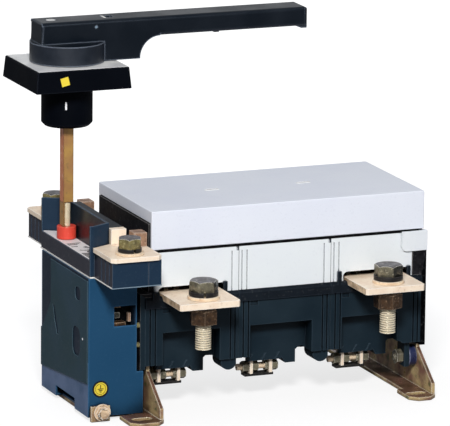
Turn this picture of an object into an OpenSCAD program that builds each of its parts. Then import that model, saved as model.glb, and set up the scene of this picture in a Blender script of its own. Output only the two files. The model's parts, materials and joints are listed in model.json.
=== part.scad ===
// Switch disconnector with three chambers, a side mechanism and a pistol handle.
// Millimetres, +Z up. The origin is the centre of the four mounting slots, on the mounting plane.
// The modules work in the case frame: X = 0 is the left face of the case, Y = 0 its front,
// Z = 0 the mounting plane.

/* [Pole block] */
// Width of one chamber
pole_pitch = 74.5; // [70:0.5:90]
// Depth of the case, front to rear
case_depth = 111; // [105:1:140]
// Height of the case's underside above the mounting plane
case_z = 38; // [36:0.5:50]
// Height of the dark lower case
case_h = 52.5; // [50:0.5:70]
// Wall of the dark case
case_wall = 3.5; // [2.5:0.1:4.5]
// Thickness of the lower end plates
end_wall = 4; // [3:0.1:6]
// Height of the white covers
cover_h = 34.5; // [32:0.5:50]
// Wall of the white covers and the lid
cover_wall = 3; // [2:0.1:4]
// Height of the lid
lid_h = 29.4; // [20:0.2:40]

/* [Terminals] */
// Width of a terminal bar
bar_w = 48; // [40:1:52]
// Thickness of a terminal bar
bar_t = 5; // [3:0.5:6]
// Reach of a terminal bar outside the case
bar_out = 37; // [32:1:50]
// Thread of the terminal bolts
bolt_d = 12; // [10:1:14]
// Length of the terminal bolts under the head
bolt_len = 45; // [40:1:60]
// Width across flats of the terminal bolts
bolt_af = 19; // [17:1:22]
// Thread of the neutral bolts
n_bolt_d = 10; // [8:1:12]
// Width across flats of the neutral bolts
n_bolt_af = 16; // [13:1:19]

/* [Contacts] */
// Thickness of a fixed knife
knife_t = 4; // [3:0.5:6]
// Thickness of a moving blade
blade_t = 3.5; // [2:0.5:5]
// Width of a moving blade
blade_w = 16; // [12:1:18]
// Length of a blade from the rotor's axis
blade_r = 36; // [33:0.5:37]
// Diameter of the rotor shaft
rotor_d = 14; // [10:0.5:15]
// Angle of the blades when the switch is off
open_angle = 60; // [45:1:60]

/* [Mechanism] */
// Width of the mechanism box
mech_w = 38.5; // [36:0.5:50]
// Height of the mechanism box above its feet
mech_h = 106; // [104:0.5:120]
// Sheet thickness of the mechanism box
mech_wall = 1.5; // [1:0.1:2]
// Reach of the neutral blocks in front of and behind the tray
n_block_out = 37.5; // [34:0.5:45]
// Height of the tray's floor above the box
tray_floor = 13.5; // [12:0.5:18]
// Height of the neutral blocks above the box
n_block_h = 19.5; // [18:0.5:24]
// Height of the tray's walls above the box
tray_wall_h = 39; // [34:0.5:46]
// Travel of the drive slider
slide_travel = 16; // [12:0.5:17]

/* [Handle and shaft] */
// Side of the square shaft
shaft_a = 8; // [7:0.5:8.5]
// Underside of the handle's bearing sleeve, above the mounting plane
sleeve_z = 210; // [190:1:260]
// Diameter of the bearing sleeve
sleeve_d = 38.5; // [34:0.5:44]
// Height of the bearing sleeve
sleeve_h = 31.8; // [25:0.2:45]
// Side of the escutcheon
plate_a = 72; // [64:1:80]
// Thickness of the escutcheon
plate_t = 16.2; // [14:0.2:20]
// Reach of the handle from the shaft's axis
handle_r = 189.5; // [160:1:220]
// Width of the handle
handle_w = 25; // [22:0.5:30]
// Height of the handle
handle_h = 31; // [28:0.5:38]
// Thickness of the grip
grip_h = 14.5; // [12:0.5:15]
// Diameter of the handle's hub
hub_d = 56; // [50:1:62]

/* [Feet] */
// Steel thickness of the feet
foot_t = 3; // [2:0.25:4]
// Width of the mounting slots
slot_w = 7; // [6:0.5:9]
// Length of the mounting slots
slot_l = 15; // [12:1:18]
// Distance of the slots in front of and behind the case
slot_out = 17; // [14:0.5:22]

/* [Hidden] */
$fn = 48;

// Colours
c_case = [0.10, 0.13, 0.18];
c_white = [0.90, 0.91, 0.94];
c_plate = [0.16, 0.17, 0.19];
c_zinc = [0.78, 0.66, 0.36];
c_tin = [0.87, 0.80, 0.70];
c_copper = [0.70, 0.45, 0.30];
c_steel = [0.62, 0.60, 0.50];
c_black = [0.05, 0.05, 0.06];
c_blue = [0.13, 0.28, 0.42];
c_slate = [0.17, 0.21, 0.24];
c_tray = [0.15, 0.19, 0.25];
c_red = [0.88, 0.20, 0.15];
c_yellow = [0.95, 0.85, 0.20];
c_grey = [0.82, 0.83, 0.84];

// Clearances and overruns
over = 1;
run_gap = 0.1;
part_gap = 0.3;
joint_gap = 0.25;

// Pole block, derived
split_z = case_z + case_h;
cover_z1 = split_z + cover_h;
lid_gap = 1;
lid_z = cover_z1 + lid_gap;
lid_z1 = lid_z + lid_h;
case_w = 2*end_wall + 3*pole_pitch;
cy = case_depth/2;
end_drop = 2.5;
upper_in_l = 7.5;
upper_in_r = 2.5;
upper_wall = 4;
upper_flange = 3;
lid_side_h = 9.4;
lid_over = 1;
function pole_x(i) = end_wall + i*pole_pitch;
function pole_cx(i) = pole_x(i) + pole_pitch/2;

// Front relief of the dark case
band_h = 8.5;
band_out = 2;
recess_top = 28;
recess_depth = 12;
recess_l = 9.5;
recess_r = 14.7;
end_post_more = 4.6;
groove_w = 1.1;
groove_depth = 1.4;
groove_l1 = 3.4;
groove_l2 = 7.5;
groove_r1 = 6.7;
groove_r2 = 3.1;
hook_w = 6;
hook_h = 4;
hook_depth = 1;
peg_w = 3;
peg_h = 8;
peg_side = 5;
peg_low_h = 3.7;

// Underside of the dark case
skirt_l = 12.5;
skirt_w = 27.5;
skirt_h = 6.5;
block_w = 11.3;
block_h = 10;
block_slope = 3;
fin_w = 1.2;
fin_out = 0.6;
fin_slant = 3.4;
fin_step = 11;
arch_w = 9;
boss_d = 13;
boss_up = 2;
boss_r = 6.2;
boss_len = 17;
boss_y = 3;

// Contacts
rotor_drop = 10.5;
rotor_z = split_z - rotor_drop;
rotor_y = cy;
blade_corner = sqrt(blade_r*blade_r + blade_w*blade_w/4);
knife_overlap = 10;
knife_up = 1;
knife_more = 2;
knife_drop = blade_w/2 + knife_more;
bar_root = 6.5;
bar_in = case_wall + bar_root;
bar_proud = 2;
bar_chamfer = 1.5;
bar_z = split_z - bar_t + bar_proud;
bolt_inset = 14.5;
bolt_y = -bar_out + bolt_inset;
contact_gap = 0.3;
blade_x = knife_t/2 + contact_gap;
hub_disc_d = 26;
hub_disc_t = 8;
pin_d = 4;
pin_r = 9.5;
pin_out = 3;
pin_head_d = 4.8;

// Fasteners
head_k = 8;
nut_k = 10.8;
nut_collar_d = 18;
nut_collar_h = 3.2;
spring_t = 3.6;
flat_t = 2.5;
spring_od = 22;
flat_od = 24;
thread_pitch = 1.75;
thread_depth = 0.95;
head_chamfer = 0.8;
n_head_k = 7.5;
n_spring_t = 3;
n_spring_od = 17.6;
n_flat_t = 2;
n_flat_od = 21;
washer_slit = 1.5;
hole_gap = 0.5;

// Mechanism box
box_gap = 3;
box_x1 = -box_gap;
box_x0 = box_x1 - mech_w;
box_proud = 1;
box_short = 10.5;
mech_depth = case_depth - box_short;
box_y0 = -box_proud;
box_y1 = box_y0 + mech_depth;
box_z0 = foot_t;
box_z1 = box_z0 + mech_h;
box_low_x1 = 2.4;
box_low_h = 32.3;
window_w = 16.7;
window_h = 15;
window_in = 1.2;
window_top = 23;
notch_y0 = 29;
notch_w = 40;
notch_h = 8;
notch_in = 5.5;
spacer_d = 4;
spacer_z1 = 69.6;
spacer_z2 = 54.7;
spacer_in = 2;

// Side cover of the box
side_t = 0.8;
side_front = 0.5;
side_top = 2;
side_low_front = 25.7;
side_low_rear = 17;
side_seam_rear = 21.8;
side_seam = box_y1 - side_seam_rear;
side_knee_z = 70.6;
side_tail_rear = 3.5;
side_tail_y = box_y1 - side_tail_rear;
side_tail_z = 47;

// Tray on top of the box
tray_in = 1.5;
tray_x0 = box_x0 + tray_in;
tray_x1 = 2;
tray_y0 = 0;
tray_short = 6;
tray_y1 = case_depth - tray_short;
tray_wall = 1.9;
tray_room = 16.1;
tray_slant = 8;
tray_post = 3;
n_block_in = 3.5;
n_block_x0 = tray_x0 + n_block_in;
tray_rx = tray_x0 + tray_room + tray_wall;
tray_floor_z = box_z1 + tray_floor;
tray_top_z = box_z1 + tray_wall_h;
n_top_z = box_z1 + n_block_h;
n_plate_t = 3.5;
n_plate_over = 2.5;
n_chamfer = 3;
n_bolt_inset = 12.5;
n_shell = 3;
label_t = 0.3;
label_in = 0.6;

// Neutral link and blocks
link_w = 11.8;
link_h = 11.5;
link_t = 5;
link_end = 12;
link_y = 4;
block_x_w = 10;
block_len = 11.5;
block_top = 10.5;

// Shaft line
shaft_in = 8.5;
shaft_rear = 26.5;
shaft_x = tray_x0 + shaft_in;
shaft_y = box_y1 - shaft_rear;
collar_d = 14.5;
collar_h = 9.5;
collar_z = tray_floor_z + label_t + part_gap;
spindle_d = 5.6;
spindle_low_d = 10;
spindle_in = 12;
spindle_bare = 18.5;
shaft_z0 = collar_z + collar_h + spindle_bare;
strap_t = 1.1;
crank_t = 4;
crank_w = 11;
crank_pin_d = 5;
pin_gap = 0.5;
slider_t = 3;
slider_len = 20;
slider_drop = 6.5;
crank_r = slide_travel/2/sin(45);
rotor_crank_r = slide_travel/2/sin(open_angle/2);
crank_z = box_z1 - part_gap - crank_t;
slider_z = crank_z - slider_drop - slider_t;
crank_pin_end = 1;

// Slider guides
rod_d = 5;
rod_in1 = 6.5;
rod_in2 = 19.5;
rod_x1 = box_x0 + rod_in1;
rod_x2 = box_x0 + rod_in2;
rod_boss = 9;
rod_drop = 4.5;
fork_t = 2.8;
fork_room = 1.6;
fork_low = 6;
fork_high = 3;
fork_side = 8;
arm_t = 5;
arm_w = 9;
arm_gap = 2;
rotor_x0 = box_x1 - mech_wall - fork_room - fork_t - arm_gap - arm_t;
rotor_end_gap = 1.5;
rotor_x1 = case_w - end_wall - rotor_end_gap;

// Escutcheon and handle
plate_z = sleeve_z + sleeve_h;
plate_z1 = plate_z + plate_t;
plate_draft = 1.5;
plate_wall = 2.5;
plate_label_in = 1;
plate_label_t = 0.4;
plate_boss_d = 32;
sleeve_chamfer = 2.5;
mark_w = 1.4;
mark_h = 6;
mark_up = 14.6;
mark_t = 0.3;
spigot_d = 24;
spigot_h = 10;
shaft_bore_gap = 0.4;
sticker_a = 6.3;
sticker_t = 0.3;
sticker_x = 15;
sticker_z = 8.3;
sticker_tilt = 12;
handle_gap = 0.4;
handle_z = plate_z1 + plate_label_t + handle_gap;
handle_back = 24.3;
hub_h = 14.7;
web_r = 53.5;
web_arc = 16;
grip_round = 2.5;
tip_round = 4;
lip_l = 5;
lip_h = 2;
bump_x = 116;
bump_w = 4;
bump_h = 2;
plug_d = 7;
plug_t = 0.6;
plug_x = -13;
socket_h = 20;
hasp_x = 27.5;
hasp_t = 2;
hasp_w = 9;
hasp_h = 26;
hasp_hole = 5.5;
hasp_gap = 0.1;
hasp_travel = 13;
thumb_w = 6;
thumb_l = 7;
thumb_depth = 4;
dot_d = 2;
dot_x = 18.5;
dot_down = 5;
dot_out = 0.4;

// Feet
flange_l_x = 7;
flange_r_x = 4.5;
foot_tip = 13;
foot_tip_h = 11;
foot_shoulder = 6;
foot_shoulder_h = 33;
pad_end = 13;
pad_w_l = 27;
pad_w_r = 22;
pad_len = 28;
pad_chamfer = 6;
foot_strip = 17;
foot_under_x0 = box_x0 + notch_in;
tab_w = 15;
tab_h = 12;
earth_d = 5;
earth_in = 10;
earth_gap = 0.2;
earth_x = box_x0 + earth_in;
earth_z = box_z0 + mech_wall + earth_d/2 + earth_gap;
earth_head_af = 8;
earth_head_k = 4;
earth_washer_d = 13;
earth_washer_t = 1.2;
earth_len = 9;
earth_label_d = 12;
earth_label_in = 9.8;
earth_label_x = box_x0 + earth_label_in;
earth_label_z = 24.4;

// Clamps under the chambers
clamp_y = 20.6;
clamp_tab1 = 17.4;
clamp_tab2 = 33.2;
clamp_tab_t = 2.5;
clamp_tab_w = 10;
clamp_tab_h = 17.5;
clamp_stud_d = 5;
clamp_stud_x0 = 7;
clamp_stud_x1 = 40.3;
clamp_stud_drop = 12.5;
clamp_nut_af = 8;
clamp_nut_t = 5;
clamp_yoke_t = 2;
clamp_yoke_w = 8;

// Studs that hold the feet
lug_t = 4;
lug_w = 14;
lug_drop = 20;
stud_d = 5;
stud_drop = 13;
disc_d = 16.5;
foot_nut_t = 5;
stud_out = 1.5;
stud_y_r = 12;
stud_y_l = 38;

// Mounting pattern
slot_in_l = 12;
slot_in_r = 10;
slot_x_l = flange_l_x - slot_in_l;
slot_x_r = case_w - flange_r_x - slot_in_r;
mount_x = (slot_x_l + slot_x_r)/2;
mount_y = cy;

// Arc chutes
arc_step = 5;
arc_n = 4;
arc_t = 1.5;
arc_w = 40;
arc_up = 7.5;
arc_reach = 30;
arc_clear = 1.5;
cheek_t = 2;
cheek_more = 3;

// Helpers
module in_frame() { translate([-mount_x, -mount_y, 0]) children(); }

module box(a, b) { translate(a) cube(b - a); }

// A cylinder along +X from p
module xcyl(p, d, l) { translate(p) rotate([0, 90, 0]) cylinder(d=d, h=l); }

// A cylinder along +Y from p
module ycyl(p, d, l) { translate(p) rotate([-90, 0, 0]) cylinder(d=d, h=l); }

module zcyl(p, d, l) { translate(p) cylinder(d=d, h=l); }

// A YZ outline, extruded along +X from x0
module slab_yz(x0, t) { translate([x0, 0, 0]) rotate([90, 0, 90]) linear_extrude(t) children(); }

// An XZ outline, extruded along +Y from y0
module slab_xz(y0, t) { translate([0, y0 + t, 0]) rotate([90, 0, 0]) linear_extrude(t) children(); }

// The same thing at the front and mirrored at the rear
module front_and_rear() {
    children();
    translate([0, 2*cy, 0]) mirror([0, 1, 0]) children();
}

// Rectangle with its own radius at each end along X
module round_outline(x0, x1, y0, y1, r0, r1) {
    translate([x0 + r0, y0]) square([x1 - x0 - r0 - r1, y1 - y0]);
    translate([x0, y0 + r0]) square([r0 + over, y1 - y0 - 2*r0]);
    translate([x1 - r1 - over, y0 + r1]) square([r1 + over, y1 - y0 - 2*r1]);
    for (y = [y0 + r0, y1 - r0]) translate([x0 + r0, y]) circle(r0);
    for (y = [y0 + r1, y1 - r1]) translate([x1 - r1, y]) circle(r1);
}

// Hexagon prism with its flats facing Y, along +Z
module hex(af, h) { cylinder(d=af/cos(30), h=h, $fn=6); }

// Hex head with a chamfered top
module hex_head(af, h) {
    intersection() {
        hex(af, h);
        union() {
            cylinder(d=af/cos(30) + over, h=h - head_chamfer);
            translate([0, 0, h - head_chamfer])
                cylinder(d1=af/cos(30), d2=af, h=head_chamfer);
        }
    }
}

// Outline of a threaded shank, from z = -len to 0, threaded over its last part
module thread_outline(d, len, threaded) {
    n = floor(threaded/thread_pitch);
    core = d/2 - thread_depth;
    crests = [for (i = [0:n - 1]) each [
        [core, -len + (i + 0.1)*thread_pitch],
        [d/2, -len + (i + 0.4)*thread_pitch],
        [d/2, -len + (i + 0.6)*thread_pitch],
        [core, -len + (i + 0.9)*thread_pitch]]];
    shank = [[core, -len + n*thread_pitch], [d/2, -len + (n + 0.3)*thread_pitch], [d/2, 0]];
    polygon(concat([[0, 0], [0, -len]], crests, shank));
}

// Bolt with its head's underside at z = 0 and its shank down
module hex_bolt(d, af, head, len, threaded) {
    hex_head(af, head);
    rotate_extrude() thread_outline(d, len, threaded);
}

module washer(od, id, t) {
    difference() {
        cylinder(d=od, h=t);
        translate([0, 0, -over]) cylinder(d=id, h=t + 2*over);
    }
}

module spring_washer(od, id, t) {
    difference() {
        washer(od, id, t);
        translate([0, -od/2 - over, -over]) cube([washer_slit, od/2 + over, t + 2*over]);
    }
}

// Places of the four bolts of the bars: pole index and side
module at_bar_bolts(turns=[0, 0, 0]) {
    for (i = [0, 2]) front_and_rear() translate([pole_cx(i), bolt_y, 0]) rotate(turns[i]) children();
}

module at_neutral_bolts() {
    front_and_rear_mech() translate([(n_block_x0 + tray_x1)/2 - link_shift, n_bolt_y, 0]) children();
}

// Where each chamber's bolt, nut and spring washer came to rest when tightened
bolt_turns = [-8, 0, 26];
nut_turns = [15, 0, 27];
washer_turns = [-20, 0, 60];
n_bolt_turn = 8;

link_shift = 2;
n_bolt_y = -n_block_out - n_plate_over + n_bolt_inset;
mech_cy = (tray_y0 + tray_y1)/2;

module front_and_rear_mech() {
    children();
    translate([0, 2*mech_cy, 0]) mirror([0, 1, 0]) children();
}

// Dark lower case of chamber i
module pole_case(i) {
    x0 = pole_x(i) + (i == 0 ? 0 : joint_gap/2);
    x1 = pole_x(i + 1) - (i == 2 ? 0 : joint_gap/2);
    rl = x0 + recess_l + (i == 0 ? end_post_more : 0);
    rr = x1 - recess_r - (i == 2 ? end_post_more : 0);
    rtop = split_z - recess_top;
    has_bars = i != 1;
    difference() {
        union() {
            box([x0, 0, case_z], [x1, case_depth, split_z]);
            front_and_rear() {
                slab_yz(x0, x1 - x0) polygon([[0, split_z - band_h], [-band_out, split_z - band_h],
                    [-band_out, split_z - band_out], [0, split_z]]);
                case_underside(i, x0);
                if (has_bars) bar_pegs(i);
            }
            case_lugs(i);
        }
        // room above the recess, and the narrower room below it
        box([x0 + case_wall, case_wall, rtop + case_wall],
            [x1 - case_wall, case_depth - case_wall, split_z + over]);
        box([x0 + case_wall, recess_depth + case_wall, case_z + case_wall],
            [x1 - case_wall, case_depth - recess_depth - case_wall, rtop + 2*case_wall]);
        xcyl([x0 - over, rotor_y, rotor_z], rotor_d + 2*run_gap, x1 - x0 + 2*over);
        front_and_rear() {
            box([rl, -over, case_z - over], [rr, recess_depth, rtop]);
            box([rl, -over, split_z - band_h - hook_h], [rl + hook_w, hook_depth, split_z - band_h]);
            for (x = [x0 + groove_l1, x0 + groove_l2, x1 - groove_r1, x1 - groove_r2])
                box([x, -over, case_z - over], [x + groove_w, groove_depth, split_z - band_h]);
            ycyl([x0 + skirt_l + skirt_w + block_w + arch_w/2, -over, case_z - arch_w/4], arch_w,
                over + recess_depth + case_wall + over);
            if (has_bars) bar_slot(i);
        }
        lug_holes(i);
    }
}

// Slanted fins, the deep block and the round boss under a chamber, front half
module case_underside(i, x0) {
    y0 = recess_depth;
    box([x0 + skirt_l, y0, case_z - skirt_h], [x0 + skirt_l + skirt_w, y0 + case_wall, case_z + over]);
    for (k = [0:2]) translate([x0 + skirt_l + fin_slant + k*fin_step, 0, case_z])
        slab_xz(y0 - fin_out, fin_out + over)
            polygon([[0, 0], [fin_w, 0], [fin_w - fin_slant, -skirt_h], [-fin_slant, -skirt_h]]);
    slab_xz(y0, boss_len) translate([x0 + skirt_l + skirt_w, case_z])
        polygon([[0, over], [0, -block_h/2], [block_slope, -block_h], [block_w, -block_h],
            [block_w, over]]);
    if (i != 2) intersection() {
        ycyl([x0 + pole_pitch - boss_r, boss_y, case_z + boss_up - boss_d/2 + boss_up], boss_d, boss_len);
        box([x0, 0, case_z - boss_d], [x0 + pole_pitch - joint_gap, case_depth, case_z + over]);
    }
}

// Small dark pegs on the band beside a terminal bar; the one by the left end plate is low and wide
module bar_pegs(i) {
    xl = pole_cx(i) - bar_w/2 - peg_side - peg_w;
    xr = pole_cx(i) + bar_w/2 + over/2;
    z0 = split_z - band_out;
    box([xr, -band_out, z0], [xr + peg_w, 0, split_z + peg_h]);
    if (i == 0) box([xl, -band_out, z0], [xl + peg_w + peg_side/2, 0, split_z + peg_low_h]);
    else box([xl, -band_out, z0], [xl + peg_w, 0, split_z + peg_h]);
}

module bar_slot(i) {
    box([pole_cx(i) - bar_w/2, -band_out - over, bar_z],
        [pole_cx(i) + bar_w/2, case_wall + over, split_z + over]);
}

// Lugs that hang from the end chambers and take the foot studs
module case_lugs(i) {
    if (i == 0) for (y = [stud_y_l, case_depth - stud_y_l])
        box([lug_x_l, y - lug_w/2, case_z - lug_drop], [lug_x_l + lug_t, y + lug_w/2, case_z + over]);
    if (i == 2) for (y = [stud_y_r, case_depth - stud_y_r])
        box([lug_x_r, y - lug_w/2, case_z - lug_drop], [lug_x_r + lug_t, y + lug_w/2, case_z + over]);
}

module lug_holes(i) {
    if (i == 0) for (y = [stud_y_l, case_depth - stud_y_l])
        xcyl([lug_x_l - over, y, case_z - stud_drop], stud_d, lug_t + 2*over);
    if (i == 2) for (y = [stud_y_r, case_depth - stud_y_r])
        xcyl([lug_x_r - over, y, case_z - stud_drop], stud_d, lug_t + 2*over);
}

disc_t = 6;
lug_x_l = flange_l_x + foot_t + disc_t;
lug_x_r = case_w - flange_r_x - disc_t - lug_t;

// White cover of chamber i
module arc_cover(i) {
    x0 = i == 0 ? upper_in_l + upper_wall + joint_gap : pole_x(i) + joint_gap/2;
    x1 = i == 2 ? case_w - upper_in_r - upper_wall - joint_gap : pole_x(i + 1) - joint_gap/2;
    difference() {
        union() {
            box([x0, 0, split_z], [x1, case_depth, cover_z1]);
            if (i == 2) corner_block();
        }
        box([x0 + cover_wall, cover_wall, split_z - over],
            [x1 - cover_wall, case_depth - cover_wall, cover_z1 - cover_wall]);
        // room for the end plates' flanges
        if (i == 0) box([x0 - over, -over, split_z - over],
            [x0, case_depth + over, split_z + upper_flange + joint_gap]);
        front_and_rear() {
            for (x = concat(i == 0 ? [] : [x0 + cover_line1, x0 + cover_line2], i == 2 ? []
                : [x1 - cover_line2]))
                box([x, -over, split_z - over], [x + cover_line_w, cover_line_w, cover_z1 - cover_notch]);
            if (i != 2) box([x1 - cover_line1, -over, cover_z1 - cover_notch],
                [x1 + over, cover_wall/2, cover_z1 + over]);
            if (i != 1) cover_slot(i);
            if (i == 2) box([right_post_x0, -over, split_z - over],
                [case_w + over, post_depth + joint_gap, split_z + post_h + joint_gap]);
        }
    }
}

// Opening of a cover over its bar, wider and higher than the bar, with rounded upper corners
module cover_slot(i) {
    half = bar_w/2 + slot_side;
    top = bar_z + bar_t + slot_up;
    slab_xz(-over, cover_wall + 2*over) translate([pole_cx(i), 0]) {
        translate([-half, split_z - over]) square([2*half, top - slot_round - split_z + over]);
        translate([-half + slot_round, split_z - over]) square([2*half - 2*slot_round, top - split_z + over]);
        for (x = [-half + slot_round, half - slot_round]) translate([x, top - slot_round]) circle(slot_round);
    }
}

slot_side = 3;
slot_up = 5;
slot_round = 3.5;
cover_line1 = 1.9;
cover_line2 = 5.9;
cover_line_w = 0.8;
cover_notch = 4;

// Dark front post of the right end plate, and the white block over it
post_w = 12;
post_h = 19;
post_depth = 6;
corner_w = 21;
corner_out = 2.2;
corner_round = 3.5;
corner_depth = 3;
right_post_x0 = case_w - post_w;

module corner_block() {
    z0 = split_z + post_h + joint_gap;
    translate([case_w - corner_w, 0, 0]) front_and_rear() slab_xz(-corner_out, corner_out + corner_depth) {
        translate([corner_round, z0]) square([corner_w - corner_round - joint_gap, cover_z1 - z0]);
        translate([0, z0 + corner_round]) square([corner_round + over, cover_z1 - z0 - corner_round]);
        translate([corner_round, z0 + corner_round]) circle(corner_round);
    }
}

module top_lid() {
    x0 = upper_in_l + lid_over;
    x1 = case_w - upper_in_r;
    side_z = lid_z1 - lid_side_h;
    color(c_white) in_frame() {
        difference() {
            box([x0, 0, lid_z], [x1, case_depth, lid_z1]);
            box([x0 + cover_wall, cover_wall, lid_z - over],
                [x1 - cover_wall, case_depth - cover_wall, lid_z1 - cover_wall]);
            // the end plates close the sides below this height
            box([x0 - over, cover_wall, lid_z - over],
                [x0 + cover_wall + over, case_depth - cover_wall, side_z]);
            box([x1 - cover_wall - over, cover_wall, lid_z - over],
                [x1 + over, case_depth - cover_wall, side_z]);
        }
        // two small raised marks over the joints of the chambers
        for (i = [1, 2]) translate([pole_x(i), cy, lid_z1]) {
            translate([-lid_mark_l/2, -lid_mark_w/2, 0]) cube([lid_mark_l, lid_mark_w, lid_mark_t]);
        }
        // feet of the lid on the covers
        for (i = [0:2], y = [cover_wall, case_depth - cover_wall - lid_foot])
            box([pole_cx(i) - lid_foot, y, cover_z1],
                [pole_cx(i) + lid_foot, y + lid_foot, lid_z1 - cover_wall]);
    }
}

lid_mark_l = 10;
lid_mark_w = 2.4;
lid_mark_t = 0.4;
lid_foot = 5;

// Dark end plate: lower wall, flange on the case's rim and upper wall up to the lid
module end_plate(x_in) {
    z1 = lid_z1 - lid_side_h - joint_gap;
    box([0, 0, case_z - end_drop], [end_wall, case_depth, split_z]);
    box([0, 0, split_z], [x_in + upper_wall, case_depth, split_z + upper_flange]);
    box([x_in, cover_wall + joint_gap, split_z],
        [x_in + upper_wall, case_depth - cover_wall - joint_gap, z1]);
}

module end_plate_left() {
    color(c_plate) in_frame() difference() {
        end_plate(upper_in_l);
        xcyl([-over, rotor_y, rotor_z], rotor_d + 2*run_gap, end_wall + 2*over);
    }
}

module end_plate_right() {
    color(c_plate) in_frame() {
        translate([case_w, 0, 0]) mirror([1, 0, 0]) end_plate(upper_in_r);
        front_and_rear() box([right_post_x0 + joint_gap, 0, split_z],
            [case_w, post_depth, split_z + post_h]);
    }
}

// Front bar with its knife, in the case frame
module bar(i) {
    cx = pole_cx(i);
    knife_y1 = rotor_y - blade_r + knife_overlap;
    difference() {
        union() {
            translate([cx, 0, bar_z]) linear_extrude(bar_t) polygon([
                [-bar_w/2, bar_in], [-bar_w/2, bar_chamfer - bar_out], [bar_chamfer - bar_w/2, -bar_out],
                [bar_w/2 - bar_chamfer, -bar_out], [bar_w/2, bar_chamfer - bar_out], [bar_w/2, bar_in]]);
            box([cx - knife_t/2, case_wall + over, rotor_z - knife_drop],
                [cx + knife_t/2, knife_y1, bar_z]);
        }
        zcyl([cx, bolt_y, bar_z - over], bolt_d + 2*hole_gap, bar_t + 2*over);
    }
}

module line_bar(i) { color(c_tin) in_frame() bar(i); }

module load_bar(i) { color(c_tin) in_frame() translate([0, 2*cy, 0]) mirror([0, 1, 0]) bar(i); }

module terminal_bolts() {
    color(c_steel) in_frame() at_bar_bolts(bolt_turns) translate([0, 0, bar_z + bar_t + flat_t + spring_t])
        hex_bolt(bolt_d, bolt_af, head_k, bolt_len, bolt_len - flat_t - spring_t - bar_t - nut_k);
}

// Each nut has a round collar that bears on the bar
module terminal_nuts() {
    h = nut_k + nut_collar_h;
    color(c_copper) in_frame() at_bar_bolts(nut_turns) translate([0, 0, bar_z - h]) difference() {
        union() {
            hex(bolt_af, nut_k);
            cylinder(d=nut_collar_d, h=h);
        }
        translate([0, 0, -over]) cylinder(d=bolt_d, h=h + 2*over);
    }
}

module spring_washers() {
    color(c_black) in_frame() {
        at_bar_bolts(washer_turns) translate([0, 0, bar_z + bar_t + flat_t])
            spring_washer(spring_od, bolt_d, spring_t);
        at_neutral_bolts() translate([0, 0, n_top_z + n_plate_t + n_flat_t])
            spring_washer(n_spring_od, n_bolt_d, n_spring_t);
    }
}

module flat_washers() {
    color(c_zinc) in_frame() {
        at_bar_bolts() translate([0, 0, bar_z + bar_t]) washer(flat_od, bolt_d, flat_t);
        at_neutral_bolts() translate([0, 0, n_top_z + n_plate_t]) washer(n_flat_od, n_bolt_d, n_flat_t);
    }
}

// Neutral terminal plate at the front
module neutral_plate() {
    x0 = n_block_x0 - n_plate_over/2;
    x1 = tray_x1;
    y0 = -n_block_out - n_plate_over;
    difference() {
        translate([0, 0, n_top_z]) linear_extrude(n_plate_t) polygon([
            [x0 + n_chamfer, y0], [x1 - n_chamfer, y0], [x1, y0 + n_chamfer], [x1, link_y + link_end],
            [tray_rx + joint_gap, link_y + link_end],
                [tray_rx + joint_gap, tray_y0 + tray_slant - joint_gap],
            [tray_x0 + tray_post + joint_gap, tray_y0 - joint_gap], [x0, tray_y0 - joint_gap],
                [x0, y0 + n_chamfer]]);
        at_neutral_bolts() zcyl([0, 0, n_top_z - over], n_bolt_d + 2*hole_gap, n_plate_t + 2*over);
    }
}

module neutral_plate_front() { color(c_tin) in_frame() neutral_plate(); }

module neutral_plate_rear() {
    color(c_tin) in_frame() translate([0, 2*mech_cy, 0]) mirror([0, 1, 0]) neutral_plate();
}

// Bridge between the two neutral plates, on two feet
module neutral_link() {
    x0 = tray_rx + joint_gap;
    z0 = n_top_z + n_plate_t;
    color(c_tin) in_frame() {
        front_and_rear_mech() box([x0, link_y, z0], [x0 + link_w, link_y + link_end, z0 + link_h]);
        box([x0, link_y, z0 + link_h - link_t], [x0 + link_w, 2*mech_cy - link_y, z0 + link_h]);
    }
}

module neutral_blocks() {
    x1 = tray_x1 - joint_gap;
    z0 = n_top_z + n_plate_t;
    color(c_copper) in_frame() front_and_rear_mech()
        box([x1 - block_x_w, link_y - block_len - over, z0], [x1, link_y - over, z0 + block_top]);
}

module neutral_bolts() {
    color(c_steel) in_frame() at_neutral_bolts()
        translate([0, 0, n_top_z + n_plate_t + n_flat_t + n_spring_t]) {
        rotate(n_bolt_turn) hex_head(n_bolt_af, n_head_k);
        translate([0, 0, -n_bolt_len]) cylinder(d=n_bolt_d, h=n_bolt_len);
    }
}

n_bolt_len = 22;

// Outline of the box in XZ, drawn in by d
module box_outline(d) {
    top = box_z1 + (d > 0 ? over : 0);
    step_z = box_z0 + box_low_h - d;
    polygon([[box_x0 + d, box_z0 + d], [box_low_x1 - d, box_z0 + d], [box_low_x1 - d, step_z],
        [box_x1 - d, step_z], [box_x1 - d, top], [box_x0 + d, top]]);
}

module mechanism_housing() {
    color(c_blue) in_frame() difference() {
        slab_xz(box_y0, mech_depth) box_outline(0);
        slab_xz(box_y0 + mech_wall, mech_depth - 2*mech_wall) box_outline(mech_wall);
        box([box_x1 - window_in - window_w, box_y0 - over, box_z1 - window_top - window_h],
            [box_x1 - window_in, box_y0 + mech_wall + over, box_z1 - window_top]);
        box([box_x0 - over, box_y0 + notch_y0, box_z0 - over],
            [box_x0 + notch_in, box_y0 + notch_y0 + notch_w, box_z0 + notch_h]);
        xcyl([box_x1 - mech_wall - over, rotor_y, rotor_z], rotor_d + 2*over, mech_wall + 2*over);
        ycyl([earth_x, box_y0 - over, earth_z], earth_d, mech_wall + 2*over);
    }
}

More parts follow.
